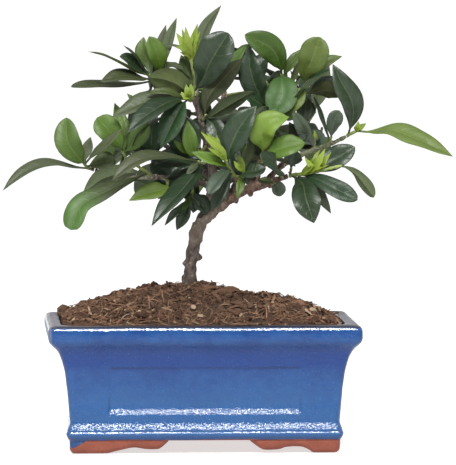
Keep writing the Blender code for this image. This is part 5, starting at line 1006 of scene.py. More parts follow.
def bark_material():
    """Thin brown bark with long furrows, grey and pale patches."""
    n = Nodes("bark")
    p = n.position()
    long = n.scaled(p, (1.0, 1.0, 0.28))
    furrow = n.noise(long, 620.0, 5.0, 0.65, 0.6)
    patch = n.noise(p, 190.0, 4.0, 0.6)
    pale = n.noise(p, 330.0, 3.0, 0.55)
    colour = n.mix(n.ramp(furrow, 0.35, 0.66), shown(64, 54, 47), shown(130, 118, 107))
    colour = n.mix(n.ramp(patch, 0.45, 0.68, 0.0, 0.65), colour, shown(156, 138, 124))
    colour = n.mix(n.ramp(patch, 0.3, 0.45, 0.45, 0.0), colour, shown(106, 82, 70))
    colour = n.mix(n.ramp(pale, 0.58, 0.68, 0.0, 0.75), colour, shown(202, 188, 170))
    crack = n.ramp(n.voronoi(long, 460.0), 0.32, 0.55, 0.0, 0.55)
    colour = n.mix(crack, colour, shown(64, 52, 46))
    # the ends of the side branches are still grey-green
    x, _, z = n.split(p)
    bough = n.math("MULTIPLY", n.ramp(x, (POT_X + 4.0) * MM, (POT_X + 14.0) * MM), n.ramp(x, (POT_X + 46.0) * MM, (POT_X + 36.0) * MM))
    colour = n.mix(n.math("MULTIPLY", bough, 0.4), colour, n.mix(n.ramp(furrow, 0.35, 0.66), shown(104, 68, 48), shown(170, 124, 96)))
    fork = n.math("MULTIPLY", n.ramp(z, 0.094, 0.102), n.ramp(z, 0.118, 0.112))
    colour = n.mix(n.math("MULTIPLY", fork, 0.25), colour, shown(196, 178, 156))
    young = n.math("ADD", n.ramp(x, (POT_X + 38.0) * MM, (POT_X + 52.0) * MM, 0.0, 0.8), n.ramp(x, (POT_X - 20.0) * MM, (POT_X - 32.0) * MM, 0.0, 0.5))
    colour = n.mix(young, colour, n.mix(n.ramp(furrow, 0.35, 0.66), shown(104, 110, 78), shown(148, 156, 116)))
    n.set(Base_Color=colour, Roughness=n.ramp(furrow, 0.3, 0.7, 0.95, 0.72))
    height = n.math("ADD", furrow, n.math("MULTIPLY", pale, 0.5))
    height = n.math("SUBTRACT", height, crack)
    n.set(Normal=n.bump(height, 0.9, 0.0006))
    return n.mat


def soil_material():
    """Loose coir and bark fibre; the layer tint gives each strand and chip its colour."""
    n = Nodes("coir_and_bark")
    p = n.position()
    tint = n.attribute("tint").outputs["Color"]
    fine = n.noise(p, 800.0, 4.0, 0.7)
    grain = n.noise(p, 2600.0, 2.0, 0.6)
    colour = n.mix(n.ramp(fine, 0.3, 0.7, 0.0, 0.65), tint, (0.52, 0.46, 0.42), "MULTIPLY")
    colour = n.mix(n.ramp(grain, 0.5, 0.75, 0.0, 0.35), colour, shown(178, 150, 122))
    n.set(Base_Color=colour, Roughness=n.ramp(fine, 0.3, 0.7, 0.98, 0.82))
    n.set(Normal=n.bump(n.math("ADD", fine, n.math("MULTIPLY", grain, 0.4)), 0.8, 0.0007))
    n.shader.inputs["Specular IOR Level"].default_value = 0.25
    return n.mat


def screen_material():
    n = Nodes("plastic_mesh")
    p = n.position()
    grain = n.noise(p, 1400.0, 3.0)
    n.set(Base_Color=n.mix(n.ramp(grain, 0.3, 0.7), shown(24, 24, 26), shown(44, 44, 46)))
    n.set(Roughness=n.ramp(grain, 0.3, 0.7, 0.42, 0.62), Normal=n.bump(grain, 0.3, 0.0002))
    return n.mat


GLAZE = glaze_material()
LEAF = leaf_material()
STEM = stem_material()
BARK = bark_material()
SOIL = soil_material()
SCREEN = screen_material()


# ---------------------------------------------------------------- the pot
def pot_lists():
    """Places along a straight side, in mm from its middle: closer together at the panel's edges."""
    def side(reach, panel, pitch):
        marks = {round(-reach + 2 * reach * k / round(2 * reach / pitch), 3) for k in range(round(2 * reach / pitch) + 1)}
        marks = {m for m in marks if abs(abs(m) - panel) > 1.6}
        for end in (-1, 1):
            marks |= {round(end * (panel + d), 3) for d in (-1.4, -0.9, -0.55, -0.25, 0.05, 0.35, 0.7, 1.2)}
        return sorted(marks)
    return side(52.0, 46.6, 2.3), side(34.0, 28.0, 2.3)


LONG_MARKS, SHORT_MARKS = pot_lists()


def fine_ring(z, inset, radius, scaled=False):
    """A dense closed ring round the pot, with (x, y, z, outward x, outward y) at each point."""
    hx, hy = POT_LENGTH / 2 - inset, POT_DEPTH / 2 - inset
    end_x, end_y = hx - radius, hy - radius
    last_x, last_y = (71.0, 52.0) if scaled else (end_x, end_y)
    spread = 5
    xs = [-last_x + (last_x - 52.0) * k / spread for k in range(spread)] + LONG_MARKS + [52.0 + (last_x - 52.0) * (k + 1) / spread for k in range(spread)]
    ys = [-last_y + (last_y - 34.0) * k / spread for k in range(spread)] + SHORT_MARKS + [34.0 + (last_y - 34.0) * (k + 1) / spread for k in range(spread)]
    xs, ys = [x * end_x / last_x for x in xs], [y * end_y / last_y for y in ys]
    arc = 9
    ring = []
    for side in range(4):
        if side == 0:
            ring += [(x, -hy, 0.0, -1.0) for x in xs]
        elif side == 1:
            ring += [(hx, y, 1.0, 0.0) for y in ys]
        elif side == 2:
            ring += [(x, hy, 0.0, 1.0) for x in reversed(xs)]
        else:
            ring += [(-hx, y, -1.0, 0.0) for y in reversed(ys)]
        cx, cy, first = ((1, -1, -90), (1, 1, 0), (-1, 1, 90), (-1, -1, 180))[side]
        for k in range(1, arc):
            angle = math.radians(first + 90.0 * k / arc)
            ox, oy = math.cos(angle), math.sin(angle)
            ring.append((cx * end_x + radius * ox, cy * end_y + radius * oy, ox, oy))
    return [(x, y, z, ox, oy) for x, y, ox, oy in ring]


def panel_depth(x, y, z, ox, oy):
    """How far the recessed panel sinks at a point of the outer wall; its lower edge is a wide slope."""
    if max(abs(ox), abs(oy)) < 0.99:
        return 0.0
    across, reach = (abs(x), 46.6) if abs(oy) > 0.9 else (abs(y), 28.0)
    deep = 0.62 + 0.85 * smooth_step(31.0, 22.0, z)
    ledge = 0.25 * smooth_step(18.7, 21.8, z) + 0.75 * min(1.0, max(0.0, (z - 18.7) / 3.1))
    return deep * smooth_step(-1.0, 1.1, reach - across) * ledge * smooth_step(-0.6, 0.8, 41.7 - z)


def outer_profile():
    """(z, inset) from the underside's edge up to the rim's top; a bead of glaze runs round the base band."""
    knots = [(6.4, 9.1), (7.2, 8.6), (8.2, 8.1), (8.9, 7.82), (9.5, 7.7), (9.9, 7.72), (10.2, 7.83), (10.55, 7.99), (10.85, 8.09), (11.15, 8.1), (11.45, 8.13),
             (12.0, 8.34), (12.8, 8.69), (13.6, 9.04), (14.4, 9.34), (15.1, 9.5), (15.8, 9.48), (17.5, 9.3), (22.2, 8.9), (29.1, 8.3), (35.4, 7.6), (40.6, 6.8), (45.3, 5.55),
             (49.0, 4.05), (51.2, 2.5), (53.2, 0.5), (54.5, -0.5), (56.0, -0.95), (57.4, -1.08), (58.8, -1.04), (60.0, -0.92), (60.6, -0.74), (61.2, -0.46),
             (61.7, -0.1), (62.05, 0.4), (62.3, 1.1), (62.45, 1.75), (62.5, 2.4)]
    points = [Vector((inset, 0.0, z)) for z, inset in knots]
    fine = []
    ends = [points[0] * 2 - points[1]] + points + [points[-1] * 2 - points[-2]]
    for i in range(1, len(ends) - 2):
        a, b, c, d = ends[i - 1], ends[i], ends[i + 1], ends[i + 2]
        parts = max(1, round((c - b).length / 0.7))
        for k in range(parts):
            t = k / parts
            fine.append(0.5 * (2 * b + (c - a) * t + (2 * a - 5 * b + 4 * c - d) * t * t + (3 * b - a - 3 * c + d) * t**3))
    fine.append(points[-1])
    return [(q.z, q.x) for q in fine]


def make_fine_pot():
    sections = []
    for z, inset in outer_profile():
        ring = []
        for x, y, zz, ox, oy in fine_ring(z, inset, 3.0 if z > 53 else 2.7):
            sink = panel_depth(x, y, z, ox, oy)
            # the glaze is a little uneven
            drift = 0.16 * noise.noise(Vector((x * 0.055, y * 0.055, z * 0.12))) + 0.07 * noise.noise(Vector((x * 0.21, y * 0.21, z * 0.33 + 7.0)))
            settle = smooth_step(6.4, 9.0, z)
            away = drift * settle - sink
            x = lean(x, y, z)
            ring.append(Vector((x + ox * away, y + oy * away, z + (0.18 * noise.noise(Vector((x * 0.05, y * 0.05, 3.0))) if z > 61.0 else 0.0))))
        sections.append(ring)
    inner = [(62.5, 3.9, 9.0), (62.46, 4.6, 12.5), (62.25, 5.3, 14.2), (61.8, 5.8, INNER_CORNER), (61.2, RIM_WIDTH, INNER_CORNER)]
    inner += [(z, cavity_inset(max(z, 14.5)) + (2.0 if z == CAVITY_FLOOR else 0.0), INNER_CORNER) for z in (56.0, 50.0, 44.0, 30.0, 14.5, CAVITY_FLOOR)]
    for z, inset, radius in inner:
        ring = []
        for x, y, _, _, _ in fine_ring(z, inset, radius, True):
            ring.append(Vector((x, y, z + (0.18 * noise.noise(Vector((x * 0.05, y * 0.05, 3.0))) if z > 61.0 else 0.0))))
        sections.append(ring)
    count = len(sections[0])
    verts = [p for ring in sections for p in ring]
    faces = [tuple(reversed(range(count)))]
    for i in range(len(sections) - 1):
        for k in range(count):
            m = (k + 1) % count
            faces.append((i * count + k, i * count + m, (i + 1) * count + m, (i + 1) * count + k))
    faces.append(tuple((len(sections) - 1) * count + k for k in range(count)))
    pot = new_piece("fine_pot", verts, faces, GLAZE, True, 50.0)
    tools = []
    for side, shape in ((1, FOOT_RIGHT), (-1, FOOT_LEFT)):
        for end in (-1, 1):
            tools.append(fine_foot(shape, side, end, True))
            tools.append(fine_foot(FOOT_SIDE, side, end, False))
    for foot in tools:
        step = pot.modifiers.new("foot", "BOOLEAN")
        step.operation, step.solver, step.object = "UNION", "MANIFOLD", foot
    drains = []
    for end in (-1, 1):
        ring = [(end * DRAIN_HOLE_X + DRAIN_HOLE_R * math.cos(2 * math.pi * k / 40), DRAIN_HOLE_R * math.sin(2 * math.pi * k / 40)) for k in range(40)]
        verts = [Vector((x, y, 3.0)) for x, y in ring] + [Vector((x, y, 14.0)) for x, y in ring]
        faces = [tuple(reversed(range(40))), tuple(range(40, 80))] + [(k, (k + 1) % 40, (k + 1) % 40 + 40, k + 40) for k in range(40)]
        drains.append(new_piece("drain_cut", verts, faces, GLAZE, False))
        step = pot.modifiers.new("drain", "BOOLEAN")
        step.operation, step.solver, step.object = "DIFFERENCE", "MANIFOLD", drains[-1]
    bpy.context.view_layer.update()
    apply_modifiers(pot)
    for tool in tools + drains:
        bpy.data.objects.remove(tool, do_unlink=True)
    pot.data.materials.clear()
    pot.data.materials.append(GLAZE)
    pot.data.shade_smooth()
    pot.data.set_sharp_from_angle(angle=math.radians(38))
    return pot


def fine_foot(shape, side, end, front):
    """One arm of a cloud foot: its scalloped outline run through the foot's thickness, with rounded edges."""
    outline_points = [Vector((a, 0.0, z)) for a, z in shape]
    curve = spline(outline_points[1:-1], 46)
    outline_fine = [(p.x, max(0.0, p.z)) for p in curve]
    outline_fine = [(shape[0][0], 8.6)] + outline_fine + [(shape[-1][0], 8.6)]
    near, far = (FOOT_FRONT, FOOT_FRONT - FOOT_THICK) if front else (FOOT_END, FOOT_END - FOOT_THICK)
    verts, faces = [], []
    rows = [(near, 2.3), (near - 0.25, 1.5), (near - 0.8, 0.75), (near - 1.6, 0.22), (near - 2.6, 0.0), (far + 1.6, 0.0), (far + 0.5, 0.3), (far, 0.9)]
    centre = Vector((sum(a for a, _ in outline_fine) / len(outline_fine), 0.0, 6.0))
    for depth, shrink in rows:
        for a, z in outline_fine:
            way = Vector((centre.x - a, 0.0, centre.z - z))
            lift = shrink if z < 8.0 else 0.0
            zz = min(8.6, z + lift) if z < 6.0 else z
            aa = a + (0.5 * shrink if a < centre.x - 15 else 0.0) - (0.5 * shrink if a > centre.x + 15 else 0.0)
            v = Vector((side * aa, end * depth, zz)) if front else Vector((side * depth, end * aa, zz))
            verts.append(Vector((lean(*v), v.y, v.z)))
    count = len(outline_fine)
    faces.append(tuple(range(count)))
    faces.append(tuple(reversed(range((len(rows) - 1) * count, len(rows) * count))))
    for i in range(len(rows) - 1):
        for k in range(count):
            m = (k + 1) % count
            faces.append((i * count + k, (i + 1) * count + k, (i + 1) * count + m, i * count + m))
    foot = new_piece("foot_tool", verts, faces, GLAZE, False)
    bm = bmesh.new()
    bm.from_mesh(foot.data)
    bmesh.ops.recalc_face_normals(bm, faces=bm.faces)
    bmesh.ops.triangulate(bm, faces=[f for f in bm.faces if len(f.verts) > 4])
    bm.to_mesh(foot.data)
    bm.free()
    return foot


# ---------------------------------------------------------------- the soil
SOIL_TINTS = [shown(*c) for c in ((120, 86, 66), (142, 106, 82), (160, 122, 98), (104, 72, 56), (172, 132, 104), (130, 94, 72))]
STRAW_TINTS = [shown(*c) for c in ((184, 152, 122), (198, 168, 138), (166, 130, 102), (212, 186, 156))]


def room(x, y):
    """Distance to the pot's inner wall."""
    qx, qy = abs(x) - (68.7 - INNER_CORNER), abs(y) - (49.7 - INNER_CORNER)
    return INNER_CORNER - (math.hypot(qx, qy) if qx > 0 and qy > 0 else max(qx, qy))


def soil_height(x, y):
    """The mound with clods and hollows on it."""
    q = Vector((x, y, 0.0))
    clods = 2.2 * noise.noise(q * 0.12) + 2.0 * noise.noise(q * 0.27 + Vector((9, 4, 2))) + 1.3 * noise.noise(q * 0.62) + 0.7 * noise.noise(q * 1.3)
    inner = smooth_step(0.0, 7.0, room(x, y))
    lump = 3.4 * math.exp(-((x + 64.5) ** 2 / 16.0 + (y - 37.0) ** 2 / 90.0))
    saddle = 2.3 * math.exp(-((x - 20.0) ** 2 / 130.0 + (y - 2.0) ** 2 / 420.0))
    inner_mound = mound(x, y) - saddle
    inner_mound -= 1.5 * smooth_step(54.0, 64.0, x) * smooth_step(20.0, -20.0, y)
    return inner_mound - 1.9 * inner + clods * (0.2 + 0.8 * inner) + lump * inner - 0.3 * (1.0 - inner)


def make_fine_soil():
    verts, faces, tints = [], [], []
    wall = GAP + 0.05
    hx, hy = POT_LENGTH / 2 - RIM_WIDTH - wall, POT_DEPTH / 2 - RIM_WIDTH - wall
    base = rounded_rectangle(hx, hy, INNER_CORNER - wall, 8)
    dense = []
    for i, p in enumerate(base):
        q = base[(i + 1) % len(base)]
        gap = math.hypot(q[0] - p[0], q[1] - p[1])
        cuts = max(1, round(gap / 1.7))
        dense += [(p[0] + (q[0] - p[0]) * k / cuts, p[1] + (q[1] - p[1]) * k / cuts) for k in range(cuts)]
    count = len(dense)
    low = CAVITY_FLOOR + 2 * GAP + SCREEN_THICK + 0.1
    for z in (low, 30.0, 44.0, 50.0, 58.0):
        inset = cavity_inset(max(z, 14.5)) + wall
        sx, sy = (POT_LENGTH / 2 - inset) / hx, (POT_DEPTH / 2 - inset) / hy
        verts += [Vector((x * sx, y * sy, z)) for x, y in dense]
    scales = [1.0 - 0.0166 * k for k in range(60)]
    for scale in scales:
        for x, y in dense:
            px, py = x * scale, y * scale
            verts.append(Vector((px, py, soil_height(px, py) - (0.5 if scale == 1.0 else 0.0))))
    rings = 5 + len(scales)
    for i in range(rings - 1):
        for k in range(count):
            m = (k + 1) % count
            faces.append((i * count + k, i * count + m, (i + 1) * count + m, (i + 1) * count + k))
    verts.append(Vector((0, 0, soil_height(0, 0))))
    faces += [((rings - 1) * count + k, (rings - 1) * count + (k + 1) % count, len(verts) - 1) for k in range(count)]
    faces.append(tuple(reversed(range(count))))
    # painted shade: the bare mound under the chips and strands is darkened to about a third of the soil's tint, for the
    # shade in the gaps between them
    for p in verts:
        deep = noise.noise(p * 0.35)
        # painted light: along the left front wall, where the gap by the wall lies in shade, the mound is lightened
        wall_gap_light = 0.3 * smooth_step(-48.0, -58.0, p.x) * smooth_step(30.0, 20.0, p.y) * smooth_step(6.0, 1.5, room(p.x, p.y))
        tints.append([c * (0.34 + 0.22 * deep + wall_gap_light) for c in SOIL_TINTS[0]])
    rng = random.Random(5)

    def add(points, quads, tint):
        start = len(verts)
        x, y = points[0].x, points[0].y
        k = 0.975 - 0.34 * math.exp(-((x - 20.0) ** 2 / 150.0 + (y + 15.0) ** 2 / 420.0)) - 0.24 * math.exp(-((x + 4.0) ** 2 / 500.0))
        tint = [c * k for c in tint]
        verts.extend(points)
        faces.extend([tuple(start + i for i in q) for q in quads])
        tints.extend([tint] * len(points))

    def ground(x, y):
        """Soil, or the rim's top where a piece lies over it."""
        return soil_height(x, y) if room(x, y) > 0.0 else 62.62

    def fits(p):
        if (p.x > 42 and p.y < 26) or (p.x < -48 and p.y < 20):
            return room(p.x, p.y) > 0.2
        return room(p.x, p.y) > -4.6 + (1.4 if p.y > -40 else 0.0) + (2.4 if p.y > 46 else 0.0)

    def somewhere():
        while True:
            x, y = rng.uniform(-hx - 3, hx + 3), rng.uniform(-hy - 3.5, hy)
            if room(x, y) > 0.4 or (room(x, y) > -3.2 and (-50.0 + rng.uniform(-6, 6) < x < 54.0 if y < -20 else abs(y) < 44)):
                return x, y

    def surface(x, y):
        e = 1.5
        if room(x, y) < 0.4:
            return Vector((x, y, 62.65)), Vector((0.0, 0.0, 1.0))
        n = Vector((soil_height(x - e, y) - soil_height(x + e, y), soil_height(x, y - e) - soil_height(x, y + e), 2 * e)).normalized()
        return Vector((x, y, soil_height(x, y))), n

    def chip(x, y, long, wide, thick, tint, loose=0.6):
        p, n = surface(x, y)
        on_rim = room(x, y) < 0.4
        turn = rng.uniform(0, 2 * math.pi)
        flat = Vector((math.cos(turn), math.sin(turn), 0.0))
        lean_out = 0.1 if on_rim else loose
        tilt = (n + Vector((rng.uniform(-lean_out, lean_out), rng.uniform(-lean_out, lean_out), 0.0))).normalized()
        flat = (flat - tilt * flat.dot(tilt)).normalized()
        side = tilt.cross(flat)
        p = p + n * (rng.uniform(0.0, 0.9) if not on_rim else 0.5 * thick)
        corners = 7
        shape = []
        for k in range(corners):
            a = 2 * math.pi * k / corners
            r = rng.uniform(0.75, 1.1)
            shape.append((0.5 * long * r * math.cos(a), 0.5 * wide * r * math.sin(a)))
        if not all(fits(p + flat * a + side * b) for a, b in shape):
            return
        bend = rng.uniform(-0.12, 0.12)
        top = [p + flat * a + side * b + tilt * (0.5 * thick + bend * a * a / max(long, 1.0)) for a, b in shape]
        under = [q - tilt * thick for q in top]
        quads = [tuple(range(corners)), tuple(reversed(range(corners, 2 * corners)))]
        quads += [(k + corners, (k + 1) % corners + corners, (k + 1) % corners, k) for k in range(corners)]
        add(top + under, quads, tint)

    def strand(x, y, long, width, curl, tint, raise_by=0.0, rise=0.1):
        p, n = surface(x, y)
        turn = rng.uniform(0, 2 * math.pi)
        way = Vector((math.cos(turn), math.sin(turn), 0.0))
        way = (way - n * way.dot(n)).normalized()
        lift = rng.uniform(0.0, 0.5) + 0.5 * raise_by
        parts = 6 if long > 8 else 4
        q = p + n * lift
        line = [q]
        heading = way
        for _ in range(parts):
            side = n.cross(heading)
            heading = (heading + side * (curl * long / 10.0) + n * rng.uniform(-rise, rise)).normalized()
            q = q + heading * (long / parts)
            floor = ground(q.x, q.y)
            q = Vector((q.x, q.y, max(floor + 0.12, q.z * 0.6 + (floor + lift) * 0.4)))
            line.append(q)
        if not all(fits(v) for v in line):
            return
        thick = width * rng.uniform(0.4, 0.8)
        points, quads = [], []
        for i, v in enumerate(line):
            along = (line[min(i + 1, parts)] - line[max(i - 1, 0)]).normalized()
            side = along.cross(n).normalized()
            up = side.cross(along)
            w = width * (1.0 - 0.75 * abs(2 * i / parts - 1.0) ** 3)
            points += [v + side * w, v + up * thick, v - side * w]
        for i in range(parts):
            for k in range(3):
                a, b = 3 * i + k, 3 * i + (k + 1) % 3
                quads.append((a, b, b + 3, a + 3))
        quads += [(2, 1, 0), (3 * parts, 3 * parts + 1, 3 * parts + 2)]
        add(points, quads, tint)

    def shade(colours, low, high):
        k = rng.uniform(low, high)
        return [c * k for c in rng.choice(colours)]

    def clump(x, y, long, wide, high, tint, turn=None):
        """A rounded lump of matted fibre, half sunk in the soil."""
        p, n = surface(x, y)
        turn = rng.uniform(0, 2 * math.pi) if turn is None else turn
        flat = Vector((math.cos(turn), math.sin(turn), 0.0))
        flat = (flat - n * flat.dot(n)).normalized()
        side = n.cross(flat)
        seed = Vector((rng.uniform(0, 90), rng.uniform(0, 90), 0.0))
        rows, spokes = 5, 11
        points = []
        for i in range(rows):
            a = math.pi * (0.08 + 0.84 * i / (rows - 1))
            for k in range(spokes):
                b = 2 * math.pi * k / spokes
                way = Vector((math.cos(a), math.sin(a) * math.cos(b), math.sin(a) * math.sin(b)))
                r = 1.0 + 0.4 * noise.noise(way * 1.6 + seed) + 0.36 * noise.noise(way * 4.0 + seed)
                points.append(p + n * (0.15 * high) + (flat * way.x * 0.5 * long + side * way.y * 0.5 * wide + n * way.z * 0.5 * high) * r)
        if not all(fits(v) for v in points):
            return
        quads = [tuple(range(spokes)), tuple(reversed(range((rows - 1) * spokes, rows * spokes)))]
        for i in range(rows - 1):
            for k in range(spokes):
                m = (k + 1) % spokes
                quads.append((i * spokes + k, (i + 1) * spokes + k, (i + 1) * spokes + m, i * spokes + m))
        add(points, quads, tint)

    def on_soil(u, v):
        """The place on the mound that shows at (u, v) of the front elevation."""
        y = -49.0
        while y < 0.0:
            p = at(u, v, y)
            if p.z <= soil_height(p.x, p.y):
                return p.x, p.y
            y += 0.5
        return at(u, v, 0.0)[:2]

    for _ in range(190):
        x, y = somewhere()
        if room(x, y) > 2.5:
            clump(x, y, rng.uniform(3.0, 7.5), rng.uniform(2.0, 4.2), rng.uniform(2.0, 4.6), shade(SOIL_TINTS, 0.4, 0.85))
    # a lump at the back left corner and a long piece of bark in front of the trunk
    clump(-66.2, 36.0, 7.4, 7.0, 6.4, shade(SOIL_TINTS, 0.5, 0.6), 0.3)
    for u, v, long, turn in ((204.0, 291.0, 15.0, 0.05), (220.0, 294.0, 17.0, -0.1), (232.0, 292.5, 9.0, 0.2), (316.0, 304.5, 8.0, 0.7)):
        x, y = on_soil(u, v)
        clump(x, y, long, 4.0, 3.6, [1.0 * c for c in SOIL_TINTS[1]], turn)
    # small chips bank up against the wall at the left, down to the front corner
    for _ in range(150):
        x, y = rng.uniform(-67.6, -60.5), rng.uniform(-48.0, 26.0)
        if room(x, y) > 0.9:
            chip(x, y, rng.uniform(1.6, 3.6), rng.uniform(1.0, 2.0), rng.uniform(0.4, 0.9), shade(SOIL_TINTS, 0.45, 0.8), 0.5)
    for _ in range(1000):
        x, y = somewhere()
        chip(x, y, rng.uniform(1.2, 4.6), rng.uniform(0.5, 1.7), rng.uniform(0.3, 0.9), shade(SOIL_TINTS, 0.45, 1.1), 0.95)
    for _ in range(170):
        x, y = somewhere()
        chip(x, y, rng.uniform(1.2, 2.6), rng.uniform(0.9, 1.8), rng.uniform(0.4, 0.8), shade(STRAW_TINTS, 0.8, 1.1))
    # tufts: strands that start close together
    for _ in range(380):
        x, y = somewhere()
        tint = shade(SOIL_TINTS, 0.7, 1.2)
        for _ in range(5):
            dx, dy = rng.gauss(0, 1.6), rng.gauss(0, 1.6)
            if room(x + dx, y + dy) > 0.4:
                strand(x + dx, y + dy, rng.uniform(4, 12), rng.uniform(0.14, 0.36), rng.uniform(-0.4, 0.4), tint, rng.uniform(0, 0.8), 0.17)
    for _ in range(1300):
        x, y = somewhere()
        long = rng.choice((rng.uniform(2.5, 6), rng.uniform(5, 11), rng.uniform(8, 16)))
        strand(x, y, long, rng.uniform(0.13, 0.42), rng.uniform(-0.35, 0.35), shade(SOIL_TINTS + SOIL_TINTS + STRAW_TINTS, 0.65, 1.1), 0.0, 0.16)
    # straws and pale chips that lie on top
    for u1, v1, u2, v2, width, k in ((310.5, 299.0, 320.5, 314.5, 0.55, 0), (303.5, 310.0, 311.5, 318.0, 0.8, 1), (183.0, 291.5, 210.0, 287.5, 0.7, 2),
                                     (88.0, 309.5, 92.0, 319.0, 0.5, 1), (148.0, 298.0, 149.5, 312.0, 0.35, 2), (168.0, 300.0, 190.0, 297.0, 0.4, 2),
                                     (97.0, 306.0, 134.0, 316.0, 0.45, 2), (160.0, 290.0, 164.0, 306.0, 0.35, 2), (262.0, 296.0, 286.0, 304.0, 0.4, 2)):
        (x1, y1), (x2, y2) = on_soil(u1, v1), on_soil(u2, v2)
        points, quads = [], []
        for i in range(7):
            x, y = x1 + (x2 - x1) * i / 6, y1 + (y2 - y1) * i / 6
            v = Vector((x, y, soil_height(x, y) + 1.5 + 0.5 * math.sin(math.pi * i / 6)))
            across = Vector((y1 - y2, x2 - x1, 0.0)).normalized() * width * (1.0 - 0.5 * abs(i / 3.0 - 1.0) ** 3)
            points += [v + across, v + Vector((0, 0, 0.4 * width)), v - across, v - Vector((0, 0, 0.4 * width))]
        for i in range(6):
            for j in range(4):
                a, b = 4 * i + j, 4 * i + (j + 1) % 4
                quads.append((a, b, b + 4, a + 4))
        quads += [(3, 2, 1, 0), (24, 25, 26, 27)]
        add(points, quads, STRAW_TINTS[k])
    for u, v, long in ((193.0, 310.0, 3.2), (201.5, 318.0, 3.8), (242.0, 316.5, 3.0), (312.5, 312.5, 4.5), (272.0, 305.0, 2.4)):
        x, y = on_soil(u, v)
        chip(x, y, long, 0.7 * long, 1.2, STRAW_TINTS[3], 0.9)
    obj = new_piece("fine_soil", verts, faces, SOIL, True, 35.0)
    bm = bmesh.new()
    bm.from_mesh(obj.data)
    bmesh.ops.recalc_face_normals(bm, faces=bm.faces)
    bm.to_mesh(obj.data)
    bm.free()
    colour_layer(obj.data, "tint", tints)
    return obj


# ---------------------------------------------------------------- wood
def make_fine_wood(tree):
    verts, faces = [], []

    def add(mesh):
        start = len(verts)
        verts.extend(mesh[0])
        faces.extend([tuple(start + i for i in f) for f in mesh[1]])

    foot = trunk_foot()
    for k, (name, (points, radii)) in enumerate(tree.wood.items()):
        steps = max(8, round(sum((q - p).length for p, q in zip(points, points[1:])) / 0.9))
        line, sizes = resample(points, radii, steps)
        swell = []
        for i, r in enumerate(sizes):
            node = abs(((i * 0.9 + 3.1 * k) % 7.5) - 3.7) < 0.9
            swell.append(r * (1.10 if node and name != "trunk" else 1.0))
        add(sweep(line, swell, 16 if name in ("trunk", "right", "leader") else 12, 0.24, 3.7 * k))
    for k, (path, sizes) in enumerate(ROOTS):
        line, radii = resample([Vector(p) + Vector((foot.x, foot.y, 0.0)) for p in path], sizes, 24)
        add(sweep(line, radii, 12, 0.2, 50.0 + k))
    # knots and old leaf scars on the trunk and the big branch
    for u, v, y, r in ((198.2, 257.0, 0.5, 1.9), (184.6, 263.0, -0.8, 1.3), (199.8, 240.0, -1.2, 1.5), (191.0, 236.0, -2.6, 1.2), (188.2, 268.0, -1.6, 1.2),
                       (195.0, 226.0, -3.2, 1.9), (222.5, 209.0, -5.4, 1.3), (236.0, 200.5, -8.4, 1.6), (250.5, 193.5, -10.0, 1.6), (257.0, 184.0, -10.5, 1.4),
                       (230.5, 198.0, -7.6, 1.3), (270.0, 186.0, -11.0, 1.2)):
        centre = at(u, v, y)
        line = [centre + Vector((0, 0, d)) for d in (-r, -0.5 * r, 0.0, 0.5 * r, r)]
        add(sweep(line, [0.35 * r, 0.85 * r, r, 0.8 * r, 0.3 * r], 10, 0.3, u))
    wood = new_piece("fine_trunk_and_branches", verts, faces, BARK, False)
    bm = bmesh.new()
    bm.from_mesh(wood.data)
    bmesh.ops.recalc_face_normals(bm, faces=bm.faces)
    bm.to_mesh(wood.data)
    bm.free()
    skin = wood.modifiers.new("skin", "REMESH")
    skin.mode = "VOXEL"
    skin.voxel_size = 0.42 * MM
    skin.adaptivity = 0.0
    soften = wood.modifiers.new("soften", "SMOOTH")
    soften.factor, soften.iterations = 0.5, 2
    bpy.context.view_layer.update()
    apply_modifiers(wood)
    wood.data.materials.clear()
    wood.data.materials.append(BARK)
    spots = [(v.co.copy(), v.normal.copy()) for v in wood.data.vertices]
    moved = []
    for co, n in spots:
        q = co / MM
        ridge = noise.noise(Vector((q.x * 1.5, q.y * 1.5, q.z * 0.45)))
        moved += (co + n * (0.16 * MM * ridge))[:]
    wood.data.vertices.foreach_set("co", moved)
    wood.data.update()
    wood.data.shade_smooth()
    return wood


# ---------------------------------------------------------------- leaves
# tone: colour of the upper face, colour of the under face, gloss; the grey and greygreen upper faces are partly the
# leaves' own grey-olive and partly a painted sheen of the bright sky
TONES = {
    # upper face partly the leaf's grey-olive, partly painted sheen of the bright sky
    "grey": ((74, 84, 56), (88, 97, 68), 0.5),
    "mid": ((75, 99, 30), (104, 122, 70), 0.5),
    "olive": ((70, 84, 38), (74, 86, 46), 0.35),
    "lime": ((136, 158, 52), (140, 160, 72), 0.35),
    "midlime": ((96, 118, 40), (104, 122, 58), 0.4),
    "palelime": ((110, 130, 58), (122, 138, 76), 0.4),
    "light": ((86, 117, 33), (114, 138, 70), 0.45),
    "dark": ((42, 61, 38), (84, 94, 66), 0.9),
    "darkgrey": ((62, 72, 42), (76, 86, 58), 0.45),
    "deep": ((32, 62, 28), (70, 88, 52), 0.5),
    "green": ((34, 60, 32), (78, 98, 62), 0.6),
    "midgreen": ((60, 94, 34), (88, 108, 58), 0.3),
    # upper face partly the leaf's grey-green, partly painted sheen of the bright sky
    "greygreen": ((70, 84, 66), (86, 96, 78), 0.4),
    "shade": ((50, 62, 34), (54, 64, 38), 0.2),
    "bright": ((58, 88, 4), (100, 124, 50), 0.5),
    "lightlime": ((118, 148, 46), (132, 154, 74), 0.4),
    "lightolive": ((88, 107, 40), (110, 126, 66), 0.4),
    "midolive": ((98, 120, 56), (110, 126, 76), 0.3),
    "greyolive": ((84, 92, 64), (84, 92, 64), 0.3),
}


